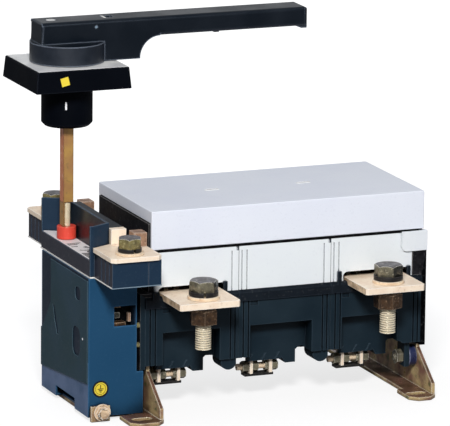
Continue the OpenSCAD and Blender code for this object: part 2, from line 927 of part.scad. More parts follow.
module mechanism_side_cover() {
    yf = box_y0 + side_front;
    yr = box_y1 - side_front;
    color(c_slate) in_frame() difference() {
        slab_yz(box_x0 - side_t, side_t) polygon([[yf, side_low_front + box_z0], [yf, box_z1 - side_top],
            [side_seam, box_z1 - side_top], [side_seam, side_knee_z + box_z0],
                [side_tail_y, side_tail_z + box_z0],
            [yr, side_tail_z + box_z0], [yr, side_low_rear + box_z0]]);
        side_opening(side_hole1);
        side_opening(side_hole2);
        slab_yz(box_x0 - side_t - over, side_t + 2*over) polygon([for (p = side_slit_shares)
            [side_slit_y + p[0]*side_slit_w, box_z0 + side_slit_z + p[1]*side_slit_h]]);
    }
}

// Openings of the side cover: rear-to-front centre, height centre, width, height
side_hole1 = [22.5, 53.5, 16, 22];
side_hole2 = [19.7, 90.3, 11, 10];
side_slit_y = 61;
side_slit_z = 49;
side_slit_w = 12;
side_slit_h = 21;
side_slit_shares = [[0, 0], [0.25, 0.4], [0.75, 1], [1, 1], [0.7, 0.45], [0.25, 0]];

module side_opening(h) {
    slab_yz(box_x0 - side_t - over, side_t + 2*over) translate([h[0] - h[2]/2, box_z0 + h[1] - h[3]/2])
        round_outline(0, h[2], 0, h[3], min(h[2], h[3])/2.5, min(h[2], h[3])/2.5);
}

// Plan outline of the tray's walls, drawn in by d on the inside
module tray_plan(d) {
    x0 = tray_x0 - (d > 0 ? over : 0);
    xr = tray_rx - d;
    yf = tray_y0 + d;
    yr = tray_y1 - d;
    polygon([[x0, yf], [tray_x0 + tray_post, yf], [xr, yf + tray_slant], [xr, yr - tray_slant],
        [tray_x0 + tray_post, yr], [x0, yr]]);
}

module mechanism_top() {
    color(c_tray) in_frame() difference() {
        union() {
            box([tray_x0, tray_y0, box_z1], [tray_rx, tray_y1, tray_floor_z]);
            box([tray_rx - over, tray_y0, box_z1], [tray_x1, tray_y1, n_top_z]);
            front_and_rear_mech() box([n_block_x0, tray_y0 - n_block_out, box_z1],
                [tray_x1, tray_y0 + over, n_top_z]);
            difference() {
                translate([0, 0, box_z1]) linear_extrude(tray_top_z - box_z1) tray_plan(0);
                translate([0, 0, tray_floor_z]) linear_extrude(tray_top_z) tray_plan(tray_wall);
            }
        }
        // the neutral blocks are hollow below
        front_and_rear_mech() box([n_block_x0 + n_shell, tray_y0 - n_block_out + n_shell, box_z1 - over],
            [tray_x1 - n_shell, tray_y0 - n_shell, n_top_z - n_shell]);
        front_and_rear_mech() box([tray_x1 - n_seam, tray_y0 - n_block_out - over, box_z1 - over],
            [tray_x1 - n_seam + groove_w/2, tray_y0 - n_block_out + groove_w/2, n_top_z]);
        front_and_rear_mech() for (k = [0:2])
            box([n_block_x0 - over, tray_y0 - n_block_out + n_rib_y + k*n_rib_step, box_z1 - over],
                [n_block_x0 + groove_w/2, tray_y0 - n_block_out + n_rib_y + k*n_rib_step + groove_w, n_top_z + over]);
        zcyl([shaft_x, shaft_y, box_z1 - over], spindle_low_d + 2*run_gap, tray_floor + 2*over);
        at_neutral_bolts() zcyl([0, 0, box_z1 - over], n_bolt_d + 2*hole_gap, n_block_h + 2*over);
    }
}

n_seam = 10.5;
n_rib_y = 6;
n_rib_step = 8;

module instruction_label() {
    color(c_white) in_frame() difference() {
        translate([0, 0, tray_floor_z]) linear_extrude(label_t) intersection() {
            tray_plan(tray_wall + label_in);
            translate([tray_x0 + label_in, tray_y0]) square([tray_room, tray_y1 - tray_y0]);
        }
        zcyl([shaft_x, shaft_y, tray_floor_z - over], spindle_low_d + 2*part_gap, label_t + 2*over);
    }
}

module earth_label() {
    color(c_yellow) in_frame()
        ycyl([earth_label_x, box_y0 - label_t, earth_label_z], earth_label_d, label_t);
}

module earth_screw() {
    y = box_y0 - foot_t;
    color(c_zinc) in_frame() {
        difference() {
            ycyl([earth_x, y - earth_washer_t, earth_z], earth_washer_d, earth_washer_t);
            ycyl([earth_x, y - earth_washer_t - over, earth_z], earth_d, earth_washer_t + 2*over);
        }
        translate([earth_x, y - earth_washer_t, earth_z])
            rotate([90, 0, 0]) hex_head(earth_head_af, earth_head_k);
        ycyl([earth_x, y - earth_washer_t, earth_z], earth_d, earth_len);
    }
}

module housing_spacers() {
    in_y = spacer_in + mech_wall;
    color(c_steel) in_frame() for (y = [box_y0 + in_y, box_y1 - in_y], z = [spacer_z1, spacer_z2])
        xcyl([box_x1, y, z], spacer_d, box_gap);
}

// Outline of a foot's flange in YZ
module flange_outline(top) {
    yf = -slot_out - foot_tip/2;
    yr = case_depth - yf;
    polygon([[yf, 0], [yf, foot_tip_h], [foot_shoulder, foot_shoulder_h], [foot_shoulder, top],
        [case_depth - foot_shoulder, top], [case_depth - foot_shoulder, foot_shoulder_h],
            [yr, foot_tip_h], [yr, 0]]);
}

// Base of a foot: a strip and two pads, from its right edge towards -X
module foot_base(x1, strip_w, pad_w) {
    yf = -slot_out - pad_end;
    linear_extrude(foot_t) {
        translate([x1 - strip_w, yf + pad_len/2]) square([strip_w, case_depth - 2*yf - pad_len]);
        for (m = [0, 1]) translate([0, m*case_depth]) mirror([0, m]) polygon([
            [x1 - pad_w, yf + pad_len], [x1 - pad_w, yf + pad_chamfer], [x1 - pad_w + pad_chamfer, yf],
            [x1 - pad_chamfer, yf], [x1, yf + pad_chamfer], [x1, yf + pad_len]]);
    }
}

// Mounting slot, running along X
module mount_slot(x, y) {
    r = slot_w/2;
    for (s = [-1, 1]) zcyl([x + s*(slot_l/2 - r), y, -over], slot_w, foot_t + 2*over);
    box([x - slot_l/2 + r, y - r, -over], [x + slot_l/2 - r, y + r, foot_t + over]);
}

module foot_slots(x) {
    for (y = [-slot_out, case_depth + slot_out]) mount_slot(x, y);
}

module foot_left() {
    x1 = flange_l_x + foot_t;
    color(c_zinc) in_frame() difference() {
        union() {
            slab_yz(flange_l_x, foot_t) flange_outline(case_z);
            foot_base(x1, foot_strip, pad_w_l);
            // plate under the mechanism box, with the earthing tab bent up in front of it
            box([foot_under_x0, notch_front, 0], [x1 - foot_t, box_y1 - notch_front, foot_t]);
            box([foot_under_x0, box_y0 - foot_t, 0],
                [foot_under_x0 + tab_w - notch_in, notch_front + over, foot_t]);
            box([box_x0 + tab_in, box_y0 - foot_t, 0],
                [box_x0 + tab_in + tab_w, box_y0, foot_t + tab_h - foot_t]);
        }
        foot_slots(slot_x_l);
        ycyl([earth_x, box_y0 - foot_t - over, earth_z], earth_d, foot_t + 2*over);
        for (y = [stud_y_l, case_depth - stud_y_l])
            xcyl([flange_l_x - over, y, case_z - stud_drop], stud_d, foot_t + 2*over);
    }
}

notch_front = 6;
tab_in = 1.5;

module foot_right() {
    x1 = case_w - flange_r_x + foot_t;
    color(c_zinc) in_frame() difference() {
        union() {
            slab_yz(case_w - flange_r_x, foot_t) flange_outline(case_z - end_drop);
            foot_base(x1, foot_strip, pad_w_r);
        }
        foot_slots(slot_x_r);
        for (y = [stud_y_r, case_depth - stud_y_r])
            xcyl([case_w - flange_r_x - over, y, case_z - stud_drop], stud_d, foot_t + 2*over);
    }
}

// Studs and discs between the lugs and the flanges
module at_foot_studs() {
    for (y = [stud_y_l, case_depth - stud_y_l]) translate([flange_l_x, y, case_z - stud_drop]) children();
    for (y = [stud_y_r, case_depth - stud_y_r])
        translate([case_w - flange_r_x + foot_t, y, case_z - stud_drop])
        mirror([1, 0, 0]) children();
}

module foot_studs() {
    len = foot_t + disc_t + lug_t + foot_nut_t + 2*stud_out;
    color(c_zinc) in_frame() at_foot_studs() {
        xcyl([-stud_out, 0, 0], stud_d, len);
        translate([foot_t + disc_t + lug_t, 0, 0])
            rotate([0, 90, 0]) hex(clamp_nut_af + 2*over, foot_nut_t);
        translate([-stud_out, 0, 0]) rotate([0, 90, 0]) hex(clamp_nut_af, stud_out);
    }
}

module foot_discs() {
    color([0.10, 0.13, 0.25]) in_frame() at_foot_studs() difference() {
        xcyl([foot_t, 0, 0], disc_d, disc_t);
        xcyl([foot_t - over, 0, 0], stud_d, disc_t + 2*over);
    }
}

// Clamps: two tabs, a stud, nuts and a yoke, under each chamber, front and rear
module at_clamps() {
    for (i = [0:2]) front_and_rear() translate([pole_x(i), clamp_y, case_z]) children();
}

module clamp_tabs() {
    color(c_tin) in_frame() at_clamps() for (x = [clamp_tab1, clamp_tab2]) difference() {
        box([x - clamp_tab_t/2, -clamp_tab_w/2, -clamp_tab_h], [x + clamp_tab_t/2, clamp_tab_w/2, 0]);
        xcyl([x - clamp_tab_t/2 - over, 0, -clamp_stud_drop], clamp_stud_d, clamp_tab_t + 2*over);
    }
}

module clamp_studs() {
    color(c_zinc) in_frame() at_clamps()
        xcyl([clamp_stud_x0, 0, -clamp_stud_drop], clamp_stud_d, clamp_stud_x1 - clamp_stud_x0);
}

module clamp_nuts() {
    color(c_steel) in_frame() at_clamps() for (x = [clamp_tab1 - clamp_tab_t/2 - clamp_nut_t, clamp_tab1 + clamp_tab_t/2,
            clamp_tab2 - clamp_tab_t/2 - clamp_nut_t/2, clamp_tab2 + clamp_tab_t/2])
        translate([x, 0, -clamp_stud_drop]) rotate([0, 90, 0]) difference() {
            hex(clamp_nut_af, x == clamp_tab2 - clamp_tab_t/2 - clamp_nut_t/2 ? clamp_nut_t/2 : clamp_nut_t);
            translate([0, 0, -over]) cylinder(d=clamp_stud_d, h=clamp_nut_t + 2*over);
        }
}

module clamp_yokes() {
    color(c_black) in_frame() at_clamps()
        box([clamp_tab1 - clamp_nut_t, -clamp_yoke_w/2, -clamp_tab_h - clamp_yoke_t],
            [clamp_tab2 + clamp_nut_t/2, clamp_yoke_w/2, -clamp_tab_h]);
}

// Square outline of the escutcheon, a wider at each side than its top
module plate_square(more) { square([plate_a + 2*more, plate_a + 2*more], center=true); }

module at_shaft(z) { translate([shaft_x, shaft_y, z]) children(); }

module escutcheon() {
    ratio = plate_a/(plate_a + 2*plate_draft);
    color(c_black) in_frame() at_shaft(plate_z) difference() {
        union() {
            difference() {
                linear_extrude(plate_t, scale=ratio) plate_square(plate_draft);
                translate([0, 0, -over]) linear_extrude(plate_t - plate_wall + over) plate_square(-plate_wall);
            }
            cylinder(d=plate_boss_d, h=plate_t - plate_wall + over);
        }
        translate([0, 0, plate_t - spigot_h - part_gap]) cylinder(d=spigot_d + 2*run_gap, h=spigot_h + over);
        translate([0, 0, -over]) cylinder(d=shaft_bore, h=plate_t);
    }
}

shaft_bore = shaft_a*sqrt(2) + shaft_bore_gap;

module escutcheon_label() {
    color(c_grey) in_frame() at_shaft(plate_z1) difference() {
        linear_extrude(plate_label_t) plate_square(-plate_label_in);
        translate([0, 0, -over]) cylinder(d=spigot_d + 2*part_gap, h=plate_label_t + 2*over);
    }
}

module bearing_sleeve() {
    color(c_black) in_frame() at_shaft(sleeve_z) {
        difference() {
            union() {
                cylinder(d1=sleeve_d - 2*sleeve_chamfer, d2=sleeve_d, h=sleeve_chamfer);
                translate([0, 0, sleeve_chamfer]) cylinder(d=sleeve_d, h=sleeve_h - sleeve_chamfer);
            }
            translate([0, 0, -over]) cylinder(d=shaft_bore, h=sleeve_h + 2*over);
            rotate([0, 0, mark_turn]) translate([0, -sleeve_d/2, mark_up])
                translate([-mark_w/2, -over, 0]) cube([mark_w, over + mark_t, mark_h]);
        }
        // the line mark, let into the sleeve
        intersection() {
            difference() {
                cylinder(d=sleeve_d, h=sleeve_h);
                translate([0, 0, -over]) cylinder(d=sleeve_d - 2*mark_t, h=sleeve_h + 2*over);
            }
            rotate([0, 0, mark_turn]) translate([-mark_w/2, -sleeve_d/2 - over, mark_up])
                cube([mark_w, over + 2*mark_t, mark_h]);
        }
    }
}

mark_turn = -22;

module inspection_sticker() {
    y = -plate_a/2 - plate_draft - run_gap/2;
    color(c_yellow) in_frame() at_shaft(plate_z)
        translate([-sticker_x, y - sticker_t + plate_draft*sticker_z/plate_t, sticker_z])
        rotate([-atan(plate_draft/plate_t), 0, 0]) rotate([0, -sticker_tilt, 0])
            translate([-sticker_a/2, 0, -sticker_a/2]) cube([sticker_a, sticker_t, sticker_a]);
}

// Side outline of the handle, X along the grip and Z up from the hub's underside
module web_outline() {
    difference() {
        translate([-handle_back, 0]) square([handle_back + web_r + web_arc, handle_h]);
        translate([web_r + web_arc, handle_h - grip_h - web_arc]) circle(web_arc);
        translate([web_r, -over]) square([web_arc + over, handle_h - grip_h - web_arc + over]);
    }
}

module grip_outline() {
    x1 = handle_r;
    z0 = handle_h - grip_h;
    translate([0, z0]) square([x1 - tip_round, grip_h]);
    translate([x1 - lip_l, z0 - lip_h]) square([lip_l, grip_h + lip_h - tip_round]);
    translate([x1 - tip_round, handle_h - tip_round]) circle(tip_round);
    polygon([[x1 - 2*lip_l, z0 + over], [x1 - 2*lip_l, z0], [x1 - lip_l, z0 - lip_h],
        [x1 - lip_l, z0 + over]]);
    translate([bump_x, z0 - bump_h]) square([bump_w, bump_h + over]);
}

// A bar along X with rounded long edges: its section in YZ
module long_section(z0, h, r) {
    rotate([90, 0, 90]) linear_extrude(handle_r + handle_back + 2*over)
        translate([0, z0]) round_outline(-handle_w/2, handle_w/2, 0, h, r, r);
}

module handle_shell() {
    color(c_black) in_frame() at_shaft(handle_z) difference() {
        union() {
            cylinder(d=hub_d, h=hub_h);
            intersection() {
                slab_xz(-handle_w/2, handle_w) web_outline();
                translate([-handle_back - over, 0, 0]) long_section(-grip_round, handle_h + grip_round, grip_round);
            }
            intersection() {
                slab_xz(-handle_w/2, handle_w) grip_outline();
                union() {
                    translate([-handle_back - over, 0, 0]) long_section(handle_h - grip_h, grip_h, grip_round);
                    translate([handle_r - 2*lip_l, -handle_w/2 + grip_round, 0])
                        cube([2*lip_l, handle_w - 2*grip_round, handle_h - grip_round]);
                    translate([bump_x, -bump_w, handle_h - grip_h - bump_h])
                        cube([bump_w, 2*bump_w, bump_h + over]);
                }
                translate([0, 0, -over]) linear_extrude(handle_h + 2*over)
                    round_outline(-handle_back, handle_r, -handle_w/2, handle_w/2, over, 2*grip_round);
            }
            translate([0, 0, -spigot_h]) cylinder(d=spigot_d, h=spigot_h + over);
        }
        translate([-shaft_a/2, -shaft_a/2, -spigot_h - over])
            cube([shaft_a, shaft_a, socket_h + spigot_h + over]);
        translate([plug_x, 0, handle_h - plug_t]) cylinder(d=plug_d, h=plug_t + over);
        translate([hasp_x - hasp_gap, -hasp_w/2 - hasp_gap, handle_h - hasp_h - hasp_gap])
            cube([hasp_t + 2*hasp_gap, hasp_w + 2*hasp_gap, hasp_h + 2*over]);
        translate([hasp_x + hasp_t, -thumb_l/2, handle_h - thumb_depth])
            cube([thumb_w, thumb_l, thumb_depth + over]);
        ycyl([dot_x, -handle_w/2 - over, handle_h - dot_down], dot_d, over + dot_out);
    }
}

module handle_plug() {
    color(c_white) in_frame() at_shaft(handle_z + handle_h - plug_t) {
        translate([plug_x, 0, 0]) cylinder(d=plug_d, h=plug_t);
        ycyl([dot_x, -handle_w/2, plug_t - dot_down], dot_d, dot_out);
    }
}

module padlock_hasp() {
    color(c_grey) in_frame() at_shaft(handle_z + handle_h - hasp_h) difference() {
        translate([hasp_x, -hasp_w/2, 0]) cube([hasp_t, hasp_w, hasp_h]);
        xcyl([hasp_x - over, 0, hasp_h - hasp_w/2], hasp_hole, hasp_t + 2*over);
    }
}

module extension_shaft() {
    z1 = handle_z + socket_h;
    color(c_copper) in_frame() at_shaft(shaft_z0) difference() {
        translate([-shaft_a/2, -shaft_a/2, 0]) cube([shaft_a, shaft_a, z1 - shaft_z0]);
        translate([0, 0, -over]) cylinder(d=spindle_d, h=spindle_in + over);
    }
}

module coupling_strap() {
    z0 = collar_z + collar_h;
    color(c_copper) in_frame() at_shaft(z0) translate([-shaft_a/2, -shaft_a/2, 0])
        cube([strap_t, shaft_a, shaft_z0 - z0]);
}

module red_collar() {
    color(c_red) in_frame() at_shaft(collar_z) difference() {
        cylinder(d=collar_d, h=collar_h);
        translate([0, 0, -over]) cylinder(d=spindle_d, h=collar_h + 2*over);
    }
}

// Spindle from the crank pin in the box up into the square shaft
module drive_spindle() {
    z1 = shaft_z0 + spindle_in;
    color(c_steel) in_frame() {
        at_shaft(collar_z) cylinder(d=spindle_d, h=z1 - collar_z);
        at_shaft(crank_z) cylinder(d=spindle_low_d, h=collar_z - crank_z);
        at_shaft(crank_z) linear_extrude(crank_t) rotate(45) {
            circle(d=crank_w);
            translate([crank_r, 0]) circle(d=crank_w);
            translate([0, -crank_w/2]) square([crank_r, crank_w]);
        }
        at_shaft(slider_z - crank_pin_end) rotate(45) translate([crank_r, 0, 0])
            cylinder(d=crank_pin_d, h=crank_z - slider_z + crank_pin_end + over);
    }
}

// Slide that links the spindle's crank to the rotor's crank
module drive_slider() {
    px0 = shaft_x + crank_r*cos(45) - crank_pin_d/2 - pin_gap;
    px1 = shaft_x + crank_r + crank_pin_d/2 + pin_gap;
    py = shaft_y + slide_travel/2;
    fx1 = box_x1 - mech_wall - fork_room;
    fx0 = fx1 - fork_t;
    fy = rotor_y + slide_travel/2;
    fz = rotor_z + rotor_crank_r*cos(open_angle/2);
    rw = crank_pin_d/2 + pin_gap;
    color(c_zinc) in_frame() difference() {
        union() {
            box([rod_x1 - rod_boss/2, py - slider_len/2, slider_z],
                [fx1, py + slider_len/2, slider_z + slider_t]);
            for (x = [rod_x1, rod_x2]) box([x - rod_boss/2, py - slider_len/2, slider_z - rod_boss],
                [x + rod_boss/2, py + slider_len/2, slider_z + over]);
            box([fx0, fy - fork_side, fz - fork_low],
                [fx1, py + slider_len/2, rotor_z + rotor_crank_r + rw + fork_high]);
        }
        box([px0, py - rw, slider_z - rod_boss - over], [px1, py + rw, slider_z + slider_t + over]);
        box([fx0 - over, fy - rw, fz - rw], [fx1 + over, fy + rw, rotor_z + rotor_crank_r + rw]);
        for (x = [rod_x1, rod_x2])
            ycyl([x, py - slider_len, slider_z - rod_drop], rod_d + 2*run_gap, 2*slider_len);
    }
}

module guide_rods() {
    color(c_steel) in_frame() for (x = [rod_x1, rod_x2])
        ycyl([x, box_y0 + mech_wall, slider_z - rod_drop], rod_d, mech_depth - 2*mech_wall);
}

// Everything on the rotor turns about this axis; the drawing shows it switched off
module on_rotor() { translate([0, rotor_y, rotor_z]) rotate([-open_angle, 0, 0]) children(); }

module rotor_shaft() {
    color([0.45, 0.25, 0.15]) in_frame() on_rotor() xcyl([rotor_x0, 0, 0], rotor_d, rotor_x1 - rotor_x0);
}

// Discs that carry the blades of chamber i
module hub_discs(i) {
    cx = pole_cx(i);
    for (s = [-1, 1]) translate([cx + s*(blade_x + blade_t + hub_disc_t/2), 0, 0])
        xcyl([-hub_disc_t/2, 0, 0], hub_disc_d, hub_disc_t);
    xcyl([cx - blade_x, 0, 0], hub_disc_d, 2*blade_x);
}

module pin_holes(i, d) {
    span = 2*(blade_x + blade_t + hub_disc_t);
    for (s = [-1, 1]) xcyl([pole_cx(i) - span/2 - over, 0, s*pin_r], d, span + 2*over);
}

module rotor_hubs() {
    color([0.30, 0.17, 0.12]) in_frame() on_rotor() for (i = [0, 2]) difference() {
        hub_discs(i);
        xcyl([pole_cx(i) - pole_pitch/2, 0, 0], rotor_d, pole_pitch);
        pin_holes(i, pin_d);
    }
}

module moving_blades(i) {
    hw = hub_disc_d/2;
    color(c_copper) in_frame() on_rotor() for (s = [-1, 1]) difference() {
        union() {
            box([pole_cx(i) + min(s*blade_x, s*(blade_x + blade_t)), -blade_r, -blade_w/2],
                [pole_cx(i) + max(s*blade_x, s*(blade_x + blade_t)), blade_r, blade_w/2]);
            xcyl([pole_cx(i) + min(s*blade_x, s*(blade_x + blade_t)), 0, 0], 2*hw, blade_t);
        }
        xcyl([pole_cx(i) - pole_pitch/2, 0, 0], rotor_d, pole_pitch);
        pin_holes(i, pin_d);
    }
}

module blade_pins() {
    span = 2*(blade_x + blade_t + hub_disc_t + pin_out);
    color(c_steel) in_frame() on_rotor() for (i = [0, 2], s = [-1, 1]) {
        xcyl([pole_cx(i) - span/2, 0, s*pin_r], pin_d, span);
        for (x = [pole_cx(i) - span/2, pole_cx(i) + span/2 - pin_out])
            xcyl([x, 0, s*pin_r], pin_head_d, pin_out);
    }
}

// Crank on the rotor's end, with a pin in the slider's fork
module rotor_crank() {
    x0 = rotor_x0 - arm_t;
    fx1 = box_x1 - mech_wall - fork_room;
    color(c_black) in_frame() translate([0, rotor_y, rotor_z]) rotate([-open_angle/2, 0, 0]) {
        difference() {
            union() {
                xcyl([rotor_x0, 0, 0], rotor_d + 2*hub_rim, arm_t);
                xcyl([rotor_x0, 0, rotor_crank_r], arm_w, arm_t);
                box([rotor_x0, -arm_w/2, 0], [rotor_x0 + arm_t, arm_w/2, rotor_crank_r]);
            }
            xcyl([rotor_x0 - over, 0, 0], rotor_d, arm_t + 2*over);
        }
        xcyl([rotor_x0 + over, 0, rotor_crank_r], crank_pin_d, fx1 + fork_room/2 - rotor_x0 - over);
    }
}

hub_rim = 3;

// Reach of the blades' sweep from the rotor's axis, at a height from it
function sweep(dz) = sqrt(max(0, blade_corner*blade_corner - dz*dz));

module arc_plates() {
    color(c_steel) in_frame() for (i = [0, 2], k = [0:arc_n - 1]) {
        dz = bar_z + bar_t + arc_up + k*arc_step - rotor_z;
        y1 = min(arc_reach, rotor_y - sweep(dz) - arc_clear);
        box([pole_cx(i) - arc_w/2, cover_wall, rotor_z + dz],
            [pole_cx(i) + arc_w/2, y1, rotor_z + dz + arc_t]);
    }
}

module arc_cheeks() {
    z0 = bar_z + bar_t + arc_up;
    color([0.75, 0.35, 0.25]) in_frame() for (i = [0, 2], s = [0, 1])
        translate([pole_cx(i) + (s == 0 ? -arc_w/2 - cheek_t : arc_w/2), 0, 0])
            box([0, cover_wall, z0 - cheek_more],
                [cheek_t, arc_reach, z0 + (arc_n - 1)*arc_step + arc_t + cheek_more]);
}

color(c_case) in_frame() pole_case(0);  // pole_case_1
color(c_case) in_frame() pole_case(1);  // pole_case_2
color(c_case) in_frame() pole_case(2);  // pole_case_3
color(c_white) in_frame() arc_cover(0);  // arc_cover_1
color(c_white) in_frame() arc_cover(1);  // arc_cover_2
color(c_white) in_frame() arc_cover(2);  // arc_cover_3
top_lid();
end_plate_left();
end_plate_right();
foot_left();
foot_right();
line_bar(0);  // line_bar_1
line_bar(2);  // line_bar_3
load_bar(0);  // load_bar_1
load_bar(2);  // load_bar_3
terminal_bolts();
terminal_nuts();
spring_washers();
flat_washers();
neutral_plate_front();
neutral_plate_rear();
neutral_link();
neutral_blocks();
neutral_bolts();
mechanism_housing();
mechanism_side_cover();
mechanism_top();
instruction_label();
earth_label();
earth_screw();
housing_spacers();
clamp_tabs();
clamp_studs();
clamp_nuts();
clamp_yokes();
foot_studs();
foot_discs();
escutcheon();
escutcheon_label();
bearing_sleeve();
inspection_sticker();
handle_shell();
handle_plug();
padlock_hasp();
extension_shaft();
coupling_strap();
red_collar();
drive_spindle();
drive_slider();
guide_rods();
rotor_shaft();
rotor_hubs();
moving_blades(0);  // moving_blades_1
moving_blades(2);  // moving_blades_3
blade_pins();
rotor_crank();
arc_plates();
arc_cheeks();
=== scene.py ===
"""Looks for the switch disconnector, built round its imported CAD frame. Lengths are in metres."""
import json
import math

import bmesh
import bpy
from mathutils import Matrix, Quaternion, Vector


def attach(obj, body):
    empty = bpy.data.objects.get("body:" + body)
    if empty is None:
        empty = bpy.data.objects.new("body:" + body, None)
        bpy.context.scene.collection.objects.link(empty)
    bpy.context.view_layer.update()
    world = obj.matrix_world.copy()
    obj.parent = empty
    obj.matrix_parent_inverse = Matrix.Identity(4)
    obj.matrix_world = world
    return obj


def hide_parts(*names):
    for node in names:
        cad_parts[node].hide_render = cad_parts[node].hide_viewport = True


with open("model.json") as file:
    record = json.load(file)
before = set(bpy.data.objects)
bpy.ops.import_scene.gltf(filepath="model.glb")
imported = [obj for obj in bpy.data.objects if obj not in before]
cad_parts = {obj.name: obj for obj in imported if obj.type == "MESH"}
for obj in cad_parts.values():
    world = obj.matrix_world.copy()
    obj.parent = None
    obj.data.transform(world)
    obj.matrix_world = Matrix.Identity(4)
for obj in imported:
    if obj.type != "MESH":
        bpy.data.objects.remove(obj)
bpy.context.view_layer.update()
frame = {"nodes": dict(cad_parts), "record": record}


# Camera, standing where the photographer's long lens stood: low, in front and to the left.
camera_place = Vector((-1.45896, -3.55136, 1.00870))
camera_yaw = math.radians(22.1034)
camera_pitch = math.radians(12.8164)
camera_roll = math.radians(0.5786)
camera_data = bpy.data.cameras.new("camera")
camera_data.sensor_width = 36.0
camera_data.lens = 417.2
camera_data.clip_end = 60.0
camera = bpy.data.objects.new("camera", camera_data)
bpy.context.scene.collection.objects.link(camera)
sight = Vector((math.sin(camera_yaw) * math.cos(camera_pitch),
                math.cos(camera_yaw) * math.cos(camera_pitch),
                -math.sin(camera_pitch)))
camera.rotation_mode = "QUATERNION"
camera.rotation_quaternion = sight.to_track_quat("-Z", "Y") @ Quaternion((0, 0, 1), camera_roll)
camera.location = camera_place
bpy.context.scene.camera = camera
bpy.context.scene.view_settings.view_transform = "Standard"


# Studio: a white sheet under and behind the switch, a soft lamp above the camera and a weak one to its right.
# The room behind the camera is dim, so fronts stay deep and faces seen at a slant take a sheen.
def white_room():
    """Gives the camera a white background and lights the switch from a room that is dim in front of it."""
    world = bpy.data.worlds.new("white_room")
    bpy.context.scene.world = world
    world.use_nodes = True
    tree = world.node_tree
    tree.nodes.clear()
    out = tree.nodes.new("ShaderNodeOutputWorld")
    path = tree.nodes.new("ShaderNodeLightPath")
    seen = tree.nodes.new("ShaderNodeMath")
    seen.operation = "ADD"
    seen.use_clamp = True
    tree.links.new(path.outputs["Is Camera Ray"], seen.inputs[0])
    tree.links.new(path.outputs["Is Transmission Ray"], seen.inputs[1])
    coord = tree.nodes.new("ShaderNodeTexCoord")
    axes = tree.nodes.new("ShaderNodeSeparateXYZ")
    depth = tree.nodes.new("ShaderNodeMapRange")
    depth.inputs["From Min"].default_value = -0.6
    depth.inputs["From Max"].default_value = 0.9
    depth.inputs["To Min"].default_value = 0.06
    depth.inputs["To Max"].default_value = 0.60
    room = tree.nodes.new("ShaderNodeBackground")
    room.inputs["Color"].default_value = (0.93, 0.96, 1.0, 1)
    sheet = tree.nodes.new("ShaderNodeBackground")
    sheet.inputs["Color"].default_value = (1, 1, 1, 1)
    sheet.inputs["Strength"].default_value = 1.0
    mix = tree.nodes.new("ShaderNodeMixShader")
    tree.links.new(coord.outputs["Generated"], axes.inputs[0])
    tree.links.new(axes.outputs["Y"], depth.inputs["Value"])
    tree.links.new(depth.outputs["Result"], room.inputs["Strength"])
    tree.links.new(seen.outputs[0], mix.inputs["Fac"])
    tree.links.new(room.outputs[0], mix.inputs[1])
    tree.links.new(sheet.outputs[0], mix.inputs[2])
    tree.links.new(mix.outputs[0], out.inputs["Surface"])


def soft_lamp(name, place, aim, size, watts, colour):
    """A round lamp that points at a place."""
    data = bpy.data.lights.new(name, "AREA")
    data.shape = "DISK"
    data.size = size
    data.energy = watts
    data.color = colour
    lamp = bpy.data.objects.new(name, data)
    lamp.location = place
    lamp.rotation_mode = "QUATERNION"
    lamp.rotation_quaternion = (Vector(aim) - Vector(place)).to_track_quat("-Z", "Y")
    bpy.context.scene.collection.objects.link(lamp)


white_room()
switch_middle = (0.0, 0.0, 0.12)
soft_lamp("key_lamp", (-0.75, -1.70, 1.30), switch_middle, size=0.42, watts=45, colour=(1.0, 0.985, 0.96))
soft_lamp("right_lamp", (1.5, -1.3, 0.7), switch_middle, size=0.5, watts=3, colour=(0.93, 0.96, 1.0))

# The sheet takes shadows near the feet and fades to plain white further out. It lies just below the feet.
MM = 0.001
floor_reach = 9.0
floor_drop = 0.2 * MM
floor_mesh = bpy.data.meshes.new("paper_floor")
bm = bmesh.new()
bmesh.ops.create_grid(bm, x_segments=1, y_segments=1, size=floor_reach)
bmesh.ops.translate(bm, verts=bm.verts, vec=(0.0, 0.0, -floor_drop))
bm.to_mesh(floor_mesh)
bm.free()
floor = bpy.data.objects.new("paper_floor", floor_mesh)
bpy.context.scene.collection.objects.link(floor)
floor_look = bpy.data.materials.new("paper_floor")
floor_look.use_nodes = True
floor_tree = floor_look.node_tree
paper = floor_tree.nodes["Principled BSDF"]
paper.inputs["Base Color"].default_value = (0.30, 0.30, 0.31, 1)
paper.inputs["Roughness"].default_value = 0.9
glow = floor_tree.nodes.new("ShaderNodeEmission")
glow.inputs["Color"].default_value = (1, 1, 1, 1)
ray = floor_tree.nodes.new("ShaderNodeLightPath")
spot = floor_tree.nodes.new("ShaderNodeTexCoord")
distance = floor_tree.nodes.new("ShaderNodeVectorMath")
distance.operation = "LENGTH"
fade = floor_tree.nodes.new("ShaderNodeMapRange")
fade.inputs["From Min"].default_value = 0.15
fade.inputs["From Max"].default_value = 0.75
fade.inputs["To Min"].default_value = 0.76
fade.inputs["To Max"].default_value = 1.0
glow_seen = floor_tree.nodes.new("ShaderNodeMath")
glow_seen.operation = "MULTIPLY"
both = floor_tree.nodes.new("ShaderNodeAddShader")
floor_tree.links.new(spot.outputs["Object"], distance.inputs[0])
floor_tree.links.new(distance.outputs["Value"], fade.inputs["Value"])
floor_tree.links.new(fade.outputs["Result"], glow_seen.inputs[0])
floor_tree.links.new(ray.outputs["Is Camera Ray"], glow_seen.inputs[1])
floor_tree.links.new(glow_seen.outputs[0], glow.inputs["Strength"])
floor_tree.links.new(paper.outputs[0], both.inputs[0])
floor_tree.links.new(glow.outputs[0], both.inputs[1])
floor_tree.links.new(both.outputs[0], floor_tree.nodes["Material Output"].inputs["Surface"])
floor_mesh.materials.append(floor_look)


